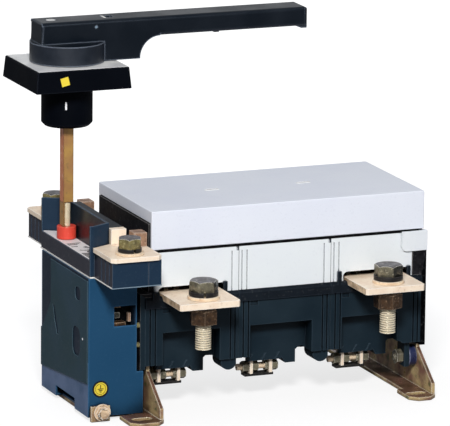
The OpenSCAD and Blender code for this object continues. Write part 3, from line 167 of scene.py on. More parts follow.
# Chambers: three dark mouldings of glass-filled polyester, bolted side by side.
# Their skin is satin with a faint mould grain, and their edges are painted a little paler, as painted
# highlight.
nodes = frame["nodes"]
body_of_node = {}
for body, members in frame["record"]["behaviour"]["bodies"].items():
    for member in members:
        body_of_node[member] = body


def surface_life():
    """The node group behind every finish: blotches, specks, painted edge highlight, painted corner shade and
    fine grain.
    """
    group = bpy.data.node_groups.new("surface_life", "ShaderNodeTree")
    face = group.interface
    for name, kind, value in (
            ("Base", "NodeSocketColor", (0.5, 0.5, 0.5, 1)),
            ("Blotch", "NodeSocketColor", (0.4, 0.4, 0.4, 1)),
            ("Blotch Scale", "NodeSocketFloat", 30.0),
            ("Blotch Amount", "NodeSocketFloat", 0.5),
            ("Speck", "NodeSocketColor", (0.3, 0.3, 0.3, 1)),
            ("Speck Scale", "NodeSocketFloat", 400.0),
            ("Speck Amount", "NodeSocketFloat", 0.1),
            ("Edge", "NodeSocketColor", (0.7, 0.7, 0.7, 1)),
            ("Edge Radius", "NodeSocketFloat", 0.0008),
            ("Edge Amount", "NodeSocketFloat", 0.3),
            ("Dirt", "NodeSocketColor", (0.05, 0.05, 0.06, 1)),
            ("Dirt Reach", "NodeSocketFloat", 0.0025),
            ("Dirt Amount", "NodeSocketFloat", 0.5),
            ("Rough", "NodeSocketFloat", 0.4),
            ("Rough Spread", "NodeSocketFloat", 0.1),
            ("Grain Scale", "NodeSocketFloat", 1500.0),
            ("Grain Depth", "NodeSocketFloat", 0.1)):
        face.new_socket(name, in_out="INPUT", socket_type=kind).default_value = value
    face.new_socket("Color", in_out="OUTPUT", socket_type="NodeSocketColor")
    face.new_socket("Roughness", in_out="OUTPUT", socket_type="NodeSocketFloat")
    face.new_socket("Normal", in_out="OUTPUT", socket_type="NodeSocketVector")
    new = group.nodes.new
    link = group.links.new
    given = new("NodeGroupInput")
    result = new("NodeGroupOutput")
    coord = new("ShaderNodeTexCoord")

    def noise(scale, detail):
        """Noise over the piece's own coordinates."""
        texture = new("ShaderNodeTexNoise")
        texture.inputs["Detail"].default_value = detail
        link(coord.outputs["Object"], texture.inputs["Vector"])
        link(given.outputs[scale], texture.inputs["Scale"])
        return texture.outputs["Fac"]

    def stretched(value, low, high):
        """The value, with low moved to 0 and high to 1."""
        ramp = new("ShaderNodeMapRange")
        ramp.inputs["From Min"].default_value = low
        ramp.inputs["From Max"].default_value = high
        link(value, ramp.inputs["Value"])
        return ramp.outputs["Result"]

    def painted(under, mask, amount, colour):
        """The colour under, with another laid over it where the mask and its amount say."""
        share = new("ShaderNodeMath")
        share.operation = "MULTIPLY"
        link(mask, share.inputs[0])
        link(given.outputs[amount], share.inputs[1])
        mix = new("ShaderNodeMix")
        mix.data_type = "RGBA"
        link(share.outputs[0], mix.inputs["Factor"])
        link(under, mix.inputs["A"])
        link(given.outputs[colour], mix.inputs["B"])
        return mix.outputs["Result"]

    blotches = stretched(noise("Blotch Scale", detail=4.0), low=0.38, high=0.64)
    colour = painted(given.outputs["Base"], blotches, "Blotch Amount", "Blotch")
    specks = stretched(noise("Speck Scale", detail=2.0), low=0.60, high=0.72)
    colour = painted(colour, specks, "Speck Amount", "Speck")
    # Close to edges, where the bevel normal turns away from the face's own, the Edge colour is laid on; in
    # most finishes it is paler, as painted highlight.
    bevel = new("ShaderNodeBevel")
    bevel.samples = 4
    link(given.outputs["Edge Radius"], bevel.inputs["Radius"])
    plain = new("ShaderNodeNewGeometry")
    turn = new("ShaderNodeVectorMath")
    turn.operation = "DOT_PRODUCT"
    link(bevel.outputs[0], turn.inputs[0])
    link(plain.outputs["Normal"], turn.inputs[1])
    edge_highlight = stretched(turn.outputs["Value"], low=0.995, high=0.90)
    colour = painted(colour, edge_highlight, "Edge Amount", "Edge")
    # Where ambient occlusion finds other surfaces near, in corners, creases and under neighbouring parts, the
    # colour darkens: painted shade.
    crevice = new("ShaderNodeAmbientOcclusion")
    crevice.samples = 6
    link(given.outputs["Dirt Reach"], crevice.inputs["Distance"])
    corner_shade = stretched(crevice.outputs["AO"], low=0.72, high=0.30)
    colour = painted(colour, corner_shade, "Dirt Amount", "Dirt")
    link(colour, result.inputs["Color"])
    spread = new("ShaderNodeMath")
    spread.operation = "MULTIPLY_ADD"
    link(blotches, spread.inputs[0])
    link(given.outputs["Rough Spread"], spread.inputs[1])
    link(given.outputs["Rough"], spread.inputs[2])
    link(spread.outputs[0], result.inputs["Roughness"])
    bump = new("ShaderNodeBump")
    bump.inputs["Distance"].default_value = 0.0002
    link(given.outputs["Grain Depth"], bump.inputs["Strength"])
    link(noise("Grain Scale", detail=2.0), bump.inputs["Height"])
    link(bump.outputs["Normal"], result.inputs["Normal"])
    return group


life = surface_life()


def finish(name, base, metallic=0.0, specular=0.5, **values):
    """A material whose colour, gloss and relief come from the surface_life group."""
    look = bpy.data.materials.new(name)
    look.use_nodes = True
    shader = look.node_tree.nodes["Principled BSDF"]
    shader.inputs["Metallic"].default_value = metallic
    shader.inputs["Specular IOR Level"].default_value = specular
    own = look.node_tree.nodes.new("ShaderNodeGroup")
    own.node_tree = life
    own.inputs["Base"].default_value = (*base, 1)
    # By default the blotches are darker, the edges paler as painted highlight, and the occluded corners much
    # darker as painted shade.
    own.inputs["Blotch"].default_value = (*[c * 0.8 for c in base], 1)
    own.inputs["Edge"].default_value = (*[min(1.0, c * 1.8 + 0.02) for c in base], 1)
    own.inputs["Dirt"].default_value = (*[c * 0.25 for c in base], 1)
    for key, value in values.items():
        socket = own.inputs[key.replace("_", " ").title()]
        socket.default_value = (*value, 1) if isinstance(value, tuple) else value
    look.node_tree.links.new(own.outputs["Color"], shader.inputs["Base Color"])
    look.node_tree.links.new(own.outputs["Roughness"], shader.inputs["Roughness"])
    look.node_tree.links.new(own.outputs["Normal"], shader.inputs["Normal"])
    return look


def shown(name, mesh, node, look, smooth_angle=32):
    """Links a finished mesh and lets it stand for a CAD node."""
    for polygon in mesh.polygons:
        polygon.use_smooth = True
    mesh.set_sharp_from_angle(angle=math.radians(smooth_angle))
    mesh.materials.clear()
    mesh.materials.append(look)
    piece = bpy.data.objects.new(name, mesh)
    bpy.context.scene.collection.objects.link(piece)
    weighted = piece.modifiers.new("even_shading", "WEIGHTED_NORMAL")
    weighted.keep_sharp = True
    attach(piece, body_of_node[node])
    return piece


def eased(node, look, width=0.35 * MM, segments=2, angle=40, merge=0.004 * MM, other=None, where=None,
          clamp=False, cuts=(), soft=None, soft_width=0.0):
    """A copy of a CAD node with its sharp edges rounded, which stands for the node.

    Its faces that pass the test where take the material other. Cuts split faces at planes, each given as an
    axis and a place on it. Edges that pass the test soft are rounded first, by soft_width."""
    bm = bmesh.new()
    bm.from_mesh(nodes[node].data)
    bmesh.ops.remove_doubles(bm, verts=bm.verts, dist=merge)
    bmesh.ops.dissolve_limit(bm, angle_limit=math.radians(0.5), verts=bm.verts, edges=bm.edges)
    if soft:
        bmesh.ops.bevel(bm, geom=[e for e in bm.edges if soft(e)], offset=soft_width, offset_type="OFFSET",
                        segments=4, profile=0.5, affect="EDGES", clamp_overlap=False, material=-1)
    sharp = [e for e in bm.edges if len(e.link_faces) == 2 and e.calc_face_angle(0) > math.radians(angle)]
    if width > 0:
        bmesh.ops.bevel(bm, geom=sharp, offset=width, offset_type="OFFSET", segments=segments, profile=0.5,
                        affect="EDGES", clamp_overlap=clamp, material=-1)
    bmesh.ops.triangulate(bm, faces=[f for f in bm.faces if len(f.verts) > 4])
    for axis, place in cuts:
        across = Vector([1.0 if k == axis else 0.0 for k in range(3)])
        bmesh.ops.bisect_plane(bm, geom=bm.verts[:] + bm.edges[:] + bm.faces[:], dist=0.001 * MM,
                               plane_co=across * place, plane_no=across)
    mesh = bpy.data.meshes.new("eased_" + node)
    bm.to_mesh(mesh)
    bm.free()
    piece = shown("eased_" + node, mesh, node, look)
    if other:
        mesh.materials.append(other)
        for polygon in mesh.polygons:
            polygon.material_index = 1 if where(polygon) else 0
    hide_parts(node)
    return piece


band_z = 82.0
# Their occlusion reaches 18 mm, so they go black under the bars and round the nuts: painted shade.
case_plastic = finish("case_plastic", (0.007, 0.017, 0.027), specular=0.17, blotch=(0.013, 0.026, 0.038),
                      blotch_scale=25.0, blotch_amount=0.8, speck=(0.04, 0.06, 0.08), speck_scale=900.0,
                      speck_amount=0.15, edge=(0.07, 0.11, 0.15), edge_amount=0.5, rough=0.38,
                      rough_spread=0.12, dirt=(0.0, 0.0, 0.001), dirt_reach=0.018, dirt_amount=1.0,
                      grain_scale=2200.0, grain_depth=0.15)
case_band = finish("case_band", (0.004, 0.007, 0.012), specular=0.15, blotch=(0.008, 0.013, 0.020),
                   blotch_scale=60.0, blotch_amount=0.8, edge=(0.05, 0.07, 0.10), edge_amount=0.6,
                   rough=0.42, grain_depth=0.15)
for number in (1, 2, 3):
    eased(f"pole_case_{number}", case_plastic, width=0.25 * MM, other=case_band,
          where=lambda polygon: polygon.center.z > band_z * MM)


# End plates: dark laminate boards with a mottled matt face, screwed to both ends of the row.
# Below the joint of cases and covers, the left one's narrow edges look like the cases, and the right one is
# painted black.
end_laminate = finish("end_laminate", (0.003, 0.003, 0.005), specular=0.15, blotch=(0.022, 0.022, 0.027),
                      blotch_scale=260.0, blotch_amount=0.5, speck=(0.10, 0.10, 0.11), speck_scale=420.0,
                      speck_amount=0.35, edge=(0.35, 0.34, 0.34), edge_amount=0.8, rough=0.5,
                      rough_spread=0.15, grain_scale=900.0, grain_depth=0.4)
end_paint = finish("end_paint", (0.0008, 0.001, 0.002), specular=0.04, rough=0.5, edge_amount=0.1)
split_z = 90.5
edgewise = 0.7
eased("end_plate_left", end_laminate, width=0.25 * MM, other=case_plastic,
      where=lambda polygon: abs(polygon.normal.y) > edgewise and polygon.center.z < split_z * MM)
eased("end_plate_right", end_laminate, width=0.25 * MM, other=end_paint,
      where=lambda polygon: polygon.center.z < split_z * MM)


# Arc covers and lid: white polyester mouldings that close the chambers from above.
# They are slightly bluish, satin and a little dusty, and their corners darken as painted shade.
case_corner = Vector((-106.0, -55.5, 0.0)) * MM


def block(name, low, high, look, node, turn=0.0, pivot=(0.0, 0.0)):
    """A closed box between two corners, in mm from the case's left front corner on the mounting plane.

    It may be turned in plan about a pivot by an angle in degrees."""
    size = [high[k] - low[k] for k in range(3)]
    middle = [(low[k] + high[k]) / 2 for k in range(3)]
    turned = Matrix.Rotation(math.radians(turn), 3, "Z")
    bm = bmesh.new()
    bmesh.ops.create_cube(bm, size=1.0)
    bmesh.ops.scale(bm, verts=bm.verts, vec=size)
    bmesh.ops.translate(bm, verts=bm.verts, vec=middle)
    bmesh.ops.rotate(bm, verts=bm.verts, cent=(*pivot, 0.0), matrix=turned)
    bmesh.ops.scale(bm, verts=bm.verts, vec=(MM, MM, MM))
    bmesh.ops.translate(bm, verts=bm.verts, vec=case_corner)
    mesh = bpy.data.meshes.new(name)
    bm.to_mesh(mesh)
    bm.free()
    return shown(name, mesh, node, look)


cover_plastic = finish("cover_plastic", (0.84, 0.89, 0.93), specular=0.3, blotch=(0.79, 0.83, 0.91),
                       blotch_scale=14.0, blotch_amount=0.6, speck=(0.60, 0.64, 0.72), speck_scale=500.0,
                       speck_amount=0.12, edge=(0.92, 0.94, 0.97), edge_amount=0.3, dirt=(0.03, 0.04, 0.07),
                       dirt_amount=1.0, rough=0.42, rough_spread=0.12, grain_scale=1500.0, grain_depth=0.12)
lid_plastic = finish("lid_plastic", (0.83, 0.87, 0.97), specular=0.3, blotch=(0.76, 0.80, 0.93),
                     blotch_scale=11.0, blotch_amount=0.7, speck=(0.55, 0.58, 0.68), speck_scale=600.0,
                     speck_amount=0.15, edge=(0.93, 0.95, 0.98), edge_amount=0.5, dirt=(0.15, 0.17, 0.22),
                     rough=0.40, rough_spread=0.12, grain_scale=1500.0, grain_depth=0.15)
rubbed_white = finish("rubbed_white", (0.93, 0.95, 0.99), rough=0.5, blotch_scale=300.0, edge_amount=0.0)
shade_black = finish("shade_black", (0.003, 0.003, 0.004), specular=0.1, rough=0.8, edge_amount=0.0)
lid_top_z = 155.4
mark_rise = 0.05
for number in (1, 2, 3):
    eased(f"arc_cover_{number}", cover_plastic, width=0.3 * MM)
eased("top_lid", lid_plastic, width=0.8 * MM, segments=3, other=rubbed_white,
      where=lambda polygon: polygon.center.z > (lid_top_z + mark_rise) * MM)
# A black strip just in front of the covers, under the lid's front edge, stands for the shadow line below the
# lid: painted shadow.
block("lid_shadow_line", (12.0, -0.25, 124.2), (224.5, 111.2, 125.95), shade_black, "top_lid")


# Feet: bent 3 mm steel plate, zinc plated and yellow chromated, so it shimmers olive, gold and pink.
# Studs hold them to the lugs of the outer cases, with blue discs between. Faces that look up are painted
# darker as painted shade, and their bright edges are painted highlight.
chromate = finish("chromate", (0.70, 0.54, 0.27), metallic=0.2, blotch=(0.24, 0.095, 0.08), blotch_scale=75.0,
                  blotch_amount=0.9, speck=(0.13, 0.17, 0.05), speck_scale=150.0, speck_amount=0.9,
                  edge=(1.0, 0.92, 0.74), edge_radius=0.0010, edge_amount=1.0, dirt=(0.05, 0.03, 0.015),
                  dirt_reach=0.006, dirt_amount=0.9, rough=0.22, rough_spread=0.2, grain_scale=1200.0,
                  grain_depth=0.2)
chromate_shade = finish("chromate_shade", (0.24, 0.12, 0.085), metallic=0.2, blotch=(0.07, 0.04, 0.02),
                       blotch_scale=75.0, blotch_amount=0.9, speck=(0.42, 0.26, 0.16), speck_scale=150.0,
                       speck_amount=0.6, edge=(1.0, 0.92, 0.74), edge_radius=0.0010, edge_amount=1.0,
                       dirt=(0.02, 0.012, 0.008), dirt_reach=0.010, dirt_amount=0.9, rough=0.22,
                       rough_spread=0.2, grain_scale=1200.0, grain_depth=0.2)
upward = 0.7
for side in ("left", "right"):
    eased(f"foot_{side}", chromate, width=0.5 * MM, other=chromate_shade,
          where=lambda polygon: polygon.normal.z > upward)


# Terminal bars: copper bar, tin plated, with sawn sides that show a tan cast. The cases hold them.
# The neutral's plates, its link and the clamps' tabs are plated alike.
# A black sleeve covers the middle of the link.
# Edges of the plated parts are lightened nearly to white: painted highlight.
tin = finish("tin", (1.0, 0.86, 0.70), metallic=0.0, specular=0.3, blotch=(0.88, 0.69, 0.53),
             blotch_scale=90.0, blotch_amount=0.6, speck=(0.60, 0.40, 0.27), speck_scale=420.0,
             speck_amount=0.4, edge=(1.0, 0.98, 0.94), edge_radius=0.0009, edge_amount=1.0, rough=0.36,
             rough_spread=0.15, grain_scale=1400.0, grain_depth=0.15)
sawn_copper = finish("sawn_copper", (0.90, 0.68, 0.46), metallic=0.0, blotch=(0.30, 0.19, 0.11),
                     blotch_scale=140.0, blotch_amount=0.8, speck=(0.95, 0.76, 0.56), speck_scale=380.0,
                     speck_amount=0.6, edge=(1.0, 0.95, 0.88), edge_radius=0.0009, edge_amount=1.0, rough=0.4,
                     rough_spread=0.15, grain_scale=1100.0, grain_depth=0.4)
sideways = 0.75
for name in ("line_bar_1", "line_bar_3", "load_bar_1", "load_bar_3"):
    eased(name, tin, width=0.25 * MM, other=sawn_copper,
          where=lambda polygon: abs(polygon.normal.x) > sideways)
for name in ("neutral_plate_front", "neutral_plate_rear", "clamp_tabs"):
    eased(name, tin, width=0.25 * MM)
sleeve_end = 45.0 * MM
eased("neutral_link", case_band, width=0.25 * MM, cuts=((1, -sleeve_end), (1, sleeve_end)), other=tin,
      where=lambda polygon: abs(polygon.center.y) > sleeve_end)


# Fasteners: steel bolts, olive where chromated and bright at the thread, with black spring washers, brown
# nuts and pale flat washers. The bolts clamp lugs to the bars. The neutral's small blocks are aged brass.
bolt_steel = finish("bolt_steel", (0.24, 0.22, 0.15), metallic=0.3, blotch=(0.06, 0.055, 0.045),
                    blotch_scale=260.0, blotch_amount=0.7, speck=(0.62, 0.58, 0.42), speck_scale=520.0,
                    speck_amount=0.7, edge=(1.0, 0.96, 0.84), edge_radius=0.0006, edge_amount=1.0, rough=0.25,
                    rough_spread=0.15, grain_scale=1500.0, grain_depth=0.3)
bolt_top_shade = finish("bolt_top_shade", (0.085, 0.075, 0.085), metallic=0.3, blotch=(0.07, 0.06, 0.06),
                  blotch_scale=240.0, blotch_amount=0.7, speck=(0.50, 0.46, 0.42), speck_scale=520.0,
                  speck_amount=0.6, edge=(1.0, 0.97, 0.90), edge_radius=0.0007, edge_amount=1.0, rough=0.3,
                  rough_spread=0.15, grain_scale=1500.0, grain_depth=0.3)
bolt_shade = finish("bolt_shade", (0.05, 0.05, 0.04), metallic=0.35, blotch=(0.012, 0.012, 0.011),
                    blotch_scale=260.0, blotch_amount=0.7, speck=(0.30, 0.28, 0.20), speck_scale=520.0,
                    speck_amount=0.6, edge=(0.80, 0.78, 0.68), edge_radius=0.0006, edge_amount=0.9,
                    rough=0.25, rough_spread=0.15, grain_scale=1500.0, grain_depth=0.3)
nut_copper = finish("nut_copper", (0.085, 0.045, 0.022), metallic=0.35, blotch=(0.02, 0.012, 0.008),
                    blotch_scale=300.0, blotch_amount=0.8, speck=(0.52, 0.33, 0.20), speck_scale=700.0,
                    speck_amount=0.6, edge=(0.95, 0.70, 0.48), edge_radius=0.0006, edge_amount=0.9,
                    rough=0.25, rough_spread=0.15, grain_scale=1500.0, grain_depth=0.3)
# The thread's grooves darken through the short occlusion: painted shade.
thread_steel = finish("thread_steel", (0.90, 0.79, 0.58), metallic=0.2, blotch=(0.70, 0.58, 0.38),
                      blotch_scale=300.0, edge=(1.0, 0.98, 0.90), edge_amount=0.9, dirt=(0.02, 0.015, 0.01),
                      dirt_reach=0.0012, dirt_amount=1.0, rough=0.2, rough_spread=0.1, grain_depth=0.2)
black_steel = finish("black_steel", (0.012, 0.012, 0.014), metallic=0.3, blotch=(0.025, 0.022, 0.02),
                     blotch_scale=200.0, blotch_amount=0.6, speck=(0.10, 0.09, 0.08), speck_scale=700.0,
                     speck_amount=0.3, edge=(0.12, 0.11, 0.10), edge_amount=0.5, rough=0.35,
                     rough_spread=0.15, grain_scale=1500.0, grain_depth=0.2)
washer_zinc = finish("washer_zinc", (1.0, 0.82, 0.60), metallic=0.1, blotch=(0.70, 0.46, 0.28),
                     blotch_scale=150.0, blotch_amount=0.7, speck=(0.30, 0.18, 0.12), speck_scale=400.0,
                     speck_amount=0.6, edge=(1.0, 0.96, 0.86), edge_radius=0.0007, edge_amount=1.0, rough=0.3,
                     rough_spread=0.15, grain_scale=1500.0, grain_depth=0.2)
bolt_olive = finish("bolt_olive", (0.31, 0.265, 0.11), metallic=0.3, blotch=(0.07, 0.06, 0.03),
                    blotch_scale=260.0, blotch_amount=0.7, speck=(0.70, 0.64, 0.34), speck_scale=520.0,
                    speck_amount=0.6, edge=(1.0, 0.95, 0.78), edge_radius=0.0006, edge_amount=1.0,
                    rough=0.25, rough_spread=0.15, grain_scale=1500.0, grain_depth=0.3)
# Head faces that look up take a darker tone and those facing right a near-black one: painted shade on the
# facets. The pale edges of bolts, nuts and washers are painted highlight.
bar_low_z = 87.5
top_slope = 0.4
shade_way = Vector((0.9, -0.1, 0.0))
shade_slope = 0.3
flank_slot, top_slot, shade_slot, thread_slot = range(4)
for name, flank in (("terminal_bolts", bolt_steel), ("neutral_bolts", bolt_olive)):
    bolts = eased(name, flank, width=0.0)
    for look in (bolt_top_shade, bolt_shade, thread_steel):
        bolts.data.materials.append(look)
    for polygon in bolts.data.polygons:
        if polygon.center.z < bar_low_z * MM:
            polygon.material_index = thread_slot
        elif polygon.normal.z > top_slope:
            polygon.material_index = top_slot
        elif polygon.normal.dot(shade_way) > shade_slope:
            polygon.material_index = shade_slot
        else:
            polygon.material_index = flank_slot
eased("terminal_nuts", nut_copper, width=0.4 * MM)
eased("spring_washers", black_steel, width=0.4 * MM)
eased("flat_washers", washer_zinc, width=0.3 * MM)
aged_brass = finish("aged_brass", (0.42, 0.25, 0.16), metallic=0.2, blotch=(0.20, 0.11, 0.07),
                    blotch_scale=140.0, blotch_amount=0.8, speck=(0.80, 0.58, 0.42), speck_scale=380.0,
                    speck_amount=0.5, edge=(1.0, 0.88, 0.76), edge_radius=0.0008, edge_amount=0.8,
                    rough=0.35, rough_spread=0.15, grain_depth=0.3)
eased("neutral_blocks", aged_brass, width=0.4 * MM)
for name, look in (("clamp_studs", washer_zinc), ("foot_studs", bolt_steel), ("earth_screw", sawn_copper)):
    eased(name, look, width=0.25 * MM)
eased("clamp_nuts", bolt_steel, width=0.25 * MM)
eased("clamp_yokes", black_steel, width=0.25 * MM)
eased("housing_spacers", bolt_olive, width=0.2 * MM)
# The discs' pale blue rim is painted highlight.
navy = finish("navy", (0.016, 0.022, 0.075), blotch=(0.02, 0.03, 0.09), rough=0.25, rough_spread=0.1,
              blotch_scale=90.0, edge=(0.45, 0.50, 0.70), edge_radius=0.0012, edge_amount=0.9)
eased("foot_discs", navy, width=0.6 * MM)


# Mechanism box: folded sheet steel in blue paint, with a darker riveted cover on its outer side.
# A window in its front shows dark, copper and brass coloured parts of the mechanism; the black plate behind
# them is painted shade inside the box.
# Its occlusion reaches 22 mm, so the front darkens under the tray: painted shadow. A wide paler band along
# its bends is painted highlight.
blue_paint = finish("blue_paint", (0.012, 0.062, 0.138), specular=0.15, blotch=(0.015, 0.072, 0.155),
                    blotch_scale=16.0, blotch_amount=0.7, speck=(0.06, 0.14, 0.26), speck_scale=700.0,
                    speck_amount=0.12, edge=(0.05, 0.15, 0.29), edge_amount=0.8, edge_radius=0.0020,
                    rough=0.34, rough_spread=0.12, dirt=(0.001, 0.003, 0.008), dirt_reach=0.022,
                    dirt_amount=1.0, grain_scale=900.0, grain_depth=0.2)
blue_shade = finish("blue_shade", (0.010, 0.020, 0.040), specular=0.15, rough=0.4)
blue_side_sheen = finish("blue_side_sheen", (0.11, 0.17, 0.31), specular=0.2, blotch=(0.055, 0.105, 0.20),
                   blotch_scale=45.0, blotch_amount=0.8, speck=(0.15, 0.21, 0.32), speck_scale=700.0,
                   speck_amount=0.2, edge=(0.05, 0.15, 0.29), edge_amount=0.8, edge_radius=0.0020, rough=0.3,
                   rough_spread=0.15, grain_depth=0.25)
cover_paint = finish("cover_paint", (0.016, 0.046, 0.062), specular=0.13, blotch=(0.034, 0.066, 0.098),
                     blotch_scale=22.0, blotch_amount=0.9, speck=(0.09, 0.12, 0.15), speck_scale=500.0,
                     speck_amount=0.25, edge=(0.12, 0.18, 0.24), edge_amount=0.7, rough=0.42,
                     rough_spread=0.15, dirt=(0.002, 0.004, 0.006), dirt_reach=0.003, dirt_amount=0.9,
                     grain_scale=900.0, grain_depth=0.25)
# Left faces outside the cover are a paler blue, as painted reflection of the floor; the left wall under the
# cover is near black, as painted shade behind it.
cover_rear = max(vert.co.y for vert in nodes["mechanism_side_cover"].data.vertices) - 1.0 * MM
cover_low = 45.0 * MM
outward = 0.9
box = eased("mechanism_housing", blue_paint, width=0.5 * MM, other=blue_side_sheen,
            cuts=((1, cover_rear), (2, cover_low)), where=lambda polygon: polygon.normal.x < -outward)
box.data.materials.append(blue_shade)
for polygon in box.data.polygons:
    if polygon.material_index == 1 and polygon.center.y < cover_rear and polygon.center.z > cover_low:
        polygon.material_index = 2
eased("mechanism_side_cover", cover_paint, width=0.2 * MM)
block("rivet_side", (-42.6, 8.1, 60.4), (-42.2, 9.5, 61.8), rubbed_white, "mechanism_side_cover")
block("rivet_bend", (-41.6, 0.2, 59.5), (-41.2, 1.0, 60.5), rubbed_white, "mechanism_side_cover")
# The black back plate is painted shade inside the box.
for name, low, high, look in (
        ("window_back", (-34.0, 9.0, 64.0), (-5.0, 10.0, 87.0), shade_black),
        ("window_strip", (-20.8, 4.0, 84.0), (-14.5, 7.0, 85.2), nut_copper),
        ("window_post", (-8.6, 3.0, 73.0), (-6.6, 6.0, 79.5), aged_brass),
        ("window_block", (-20.8, 2.0, 67.0), (-11.0, 9.0, 73.0), nut_copper),
        ("window_latch", (-19.5, 5.0, 76.0), (-14.5, 8.0, 80.0), bolt_shade)):
    block(name, low, high, look, "mechanism_housing")


# Tray: dark grey-blue moulding on top of the box. It guards the shaft and carries the neutral terminals.
# Strips along its lower lip are painted highlight: bright along its left side, dull along its front and rear
# ends.
tray_plastic = finish("tray_plastic", (0.012, 0.030, 0.060), specular=0.15, blotch=(0.018, 0.039, 0.072),
                      blotch_scale=22.0, blotch_amount=0.7, speck=(0.06, 0.10, 0.14), speck_scale=800.0,
                      speck_amount=0.15, edge=(0.14, 0.22, 0.32), edge_radius=0.0006, edge_amount=0.7,
                      rough=0.38, rough_spread=0.12, dirt=(0.001, 0.002, 0.003), dirt_reach=0.004,
                      dirt_amount=0.8, grain_scale=2000.0, grain_depth=0.15)
tray_inside_shade = finish("tray_inside_shade", (0.006, 0.010, 0.014), specular=0.35, blotch=(0.012, 0.018, 0.025),
                     blotch_scale=90.0, edge=(0.20, 0.30, 0.42), edge_amount=0.8, rough=0.28, grain_depth=0.1)
tray_left_sheen = finish("tray_left_sheen", (0.030, 0.031, 0.046), specular=0.18, blotch=(0.04, 0.041, 0.055),
                   blotch_scale=60.0, edge=(0.2, 0.24, 0.3), edge_amount=0.7, rough=0.4, grain_depth=0.15)
inside_low_z = 123.5
tray = eased("mechanism_top", tray_plastic, width=0.35 * MM)
tray.data.materials.append(tray_inside_shade)
tray.data.materials.append(tray_left_sheen)
# Faces that look left are recoloured: inside the tray near black, as painted shade, and on the outer side a
# grey tone, as painted sheen.
for polygon in tray.data.polygons:
    if polygon.normal.x < -outward:
        polygon.material_index = 1 if polygon.center.z > inside_low_z * MM else 2
rim_highlight = finish("rim_highlight", (0.95, 0.93, 0.90), rough=0.4, edge_amount=0.0)
dull_rim = finish("dull_rim", (0.18, 0.26, 0.34), rough=0.4, edge_amount=0.0)
front_plus_rear = 105.0
for name in ("front", "rear"):
    for part, low, high, look in (
            ("left", (-36.9, -37.6, 109.0), (-36.4, -0.6, 109.8), rim_highlight),
            ("end", (-36.9, -37.95, 109.0), (2.1, -37.5, 109.7), dull_rim)):
        near, far = low[1], high[1]
        if name == "rear":
            near, far = front_plus_rear - high[1], front_plus_rear - low[1]
        block(f"rim_{part}_{name}", (low[0], near, low[2]), (high[0], far, high[2]), look, "mechanism_top")
block("rim_tray", (-40.5, -0.5, 109.0), (-40.0, 105.5, 109.9), rim_highlight, "mechanism_top")
block("rim_tray_front", (-40.5, -0.6, 109.0), (-36.4, 0.1, 109.9), rim_highlight, "mechanism_top")


# Labels: a white printed sheet in the tray, a round yellow earth sign and a small yellow test sticker.
# They are self-adhesive film, and their ink is a thin black layer.
label_sheet = finish("label_sheet", (0.93, 0.90, 0.92), blotch=(0.80, 0.76, 0.79), blotch_scale=60.0,
                     blotch_amount=0.6, speck=(0.3, 0.3, 0.32), speck_scale=300.0, speck_amount=0.2,
                     rough=0.45, edge_amount=0.0)
ink = finish("ink", (0.012, 0.013, 0.018), specular=0.2, rough=0.5, edge_amount=0.0)
yellow_sheet = finish("yellow_sheet", (0.86, 0.68, 0.05), blotch=(0.78, 0.60, 0.05), blotch_scale=90.0,
                      blotch_amount=0.5, speck=(0.6, 0.45, 0.05), speck_scale=600.0, speck_amount=0.2,
                      rough=0.4, edge_amount=0.0)
eased("instruction_label", label_sheet, width=0.0)
eased("earth_label", yellow_sheet, width=0.0)
eased("inspection_sticker", yellow_sheet, width=0.0)


def ring(name, centre, axis, radii, thickness, look, node, sweep=(0.0, 360.0), steps=48):
    """A closed flat ring, or part of one, round the axis "y" or "z", in mm as for block.

    Its centre is on its low face. The sweep gives its two ends in degrees."""
    inner, outer = radii
    start, end = math.radians(sweep[0]), math.radians(sweep[1])
    full = sweep[1] - sweep[0] >= 360.0
    bm = bmesh.new()
    bmesh.ops.create_grid(bm, x_segments=1, y_segments=1, size=0.5)
    bmesh.ops.delete(bm, geom=bm.faces[:], context="FACES_ONLY")
    for vert in bm.verts:
        radius = inner + (vert.co.x + 0.5) * (outer - inner)
        level = (vert.co.y + 0.5) * thickness
        vert.co = (radius * math.cos(start), radius * math.sin(start), level)
    bmesh.ops.spin(bm, geom=bm.verts[:] + bm.edges[:], cent=(0, 0, 0), axis=(0, 0, 1), angle=end - start,
                   steps=steps, use_merge=full)
    bmesh.ops.holes_fill(bm, edges=[edge for edge in bm.edges if edge.is_boundary], sides=4)
    for vert in bm.verts:
        u, v, level = vert.co
        offset = Vector((u, v, level)) if axis == "z" else Vector((u, level, v))
        vert.co = (Vector(centre) + offset) * MM + case_corner
    bm.normal_update()
    bmesh.ops.recalc_face_normals(bm, faces=bm.faces)
    mesh = bpy.data.meshes.new(name)
    bm.to_mesh(mesh)
    bm.free()
    return shown(name, mesh, node, look)


# Printing on the tray's label: rulings, an arc arrow and the marks I and O at its ends.
label_z = 122.8
ink_low_z = label_z - 0.1
ink_z = label_z + 0.05
ink_t = 0.15
ruling_x, ruling_y, ruling_pitch, ruling_width = -38.5, 3.5, 3.3, 1.9
ruling_turn, ruling_pivot_x = -14.0, -32.0
for k, reach in enumerate((9.0, 12.5, 7.0, 12.5, 10.0, 6.0)):
    y = ruling_y + ruling_pitch * k
    block(f"ruling_{k}", (ruling_x, y, ink_low_z), (ruling_x + reach, y + ruling_width, ink_z), ink,
          "instruction_label", ruling_turn, (ruling_pivot_x, y))
arc_x, arc_y = -31.0, 36.0
head_x, head_y, head_half, head_turn = arc_x + 2.9, arc_y + 4.9, 1.5, 30.0
ring("arc_mark", (arc_x, arc_y, ink_low_z), "z", (4.6, 5.8), ink_t, ink, "instruction_label",
     sweep=(-150.0, 60.0), steps=28)
block("arc_head", (head_x - head_half, head_y - head_half, ink_low_z),
      (head_x + head_half, head_y + head_half, ink_z), ink, "instruction_label", head_turn, (head_x, head_y))
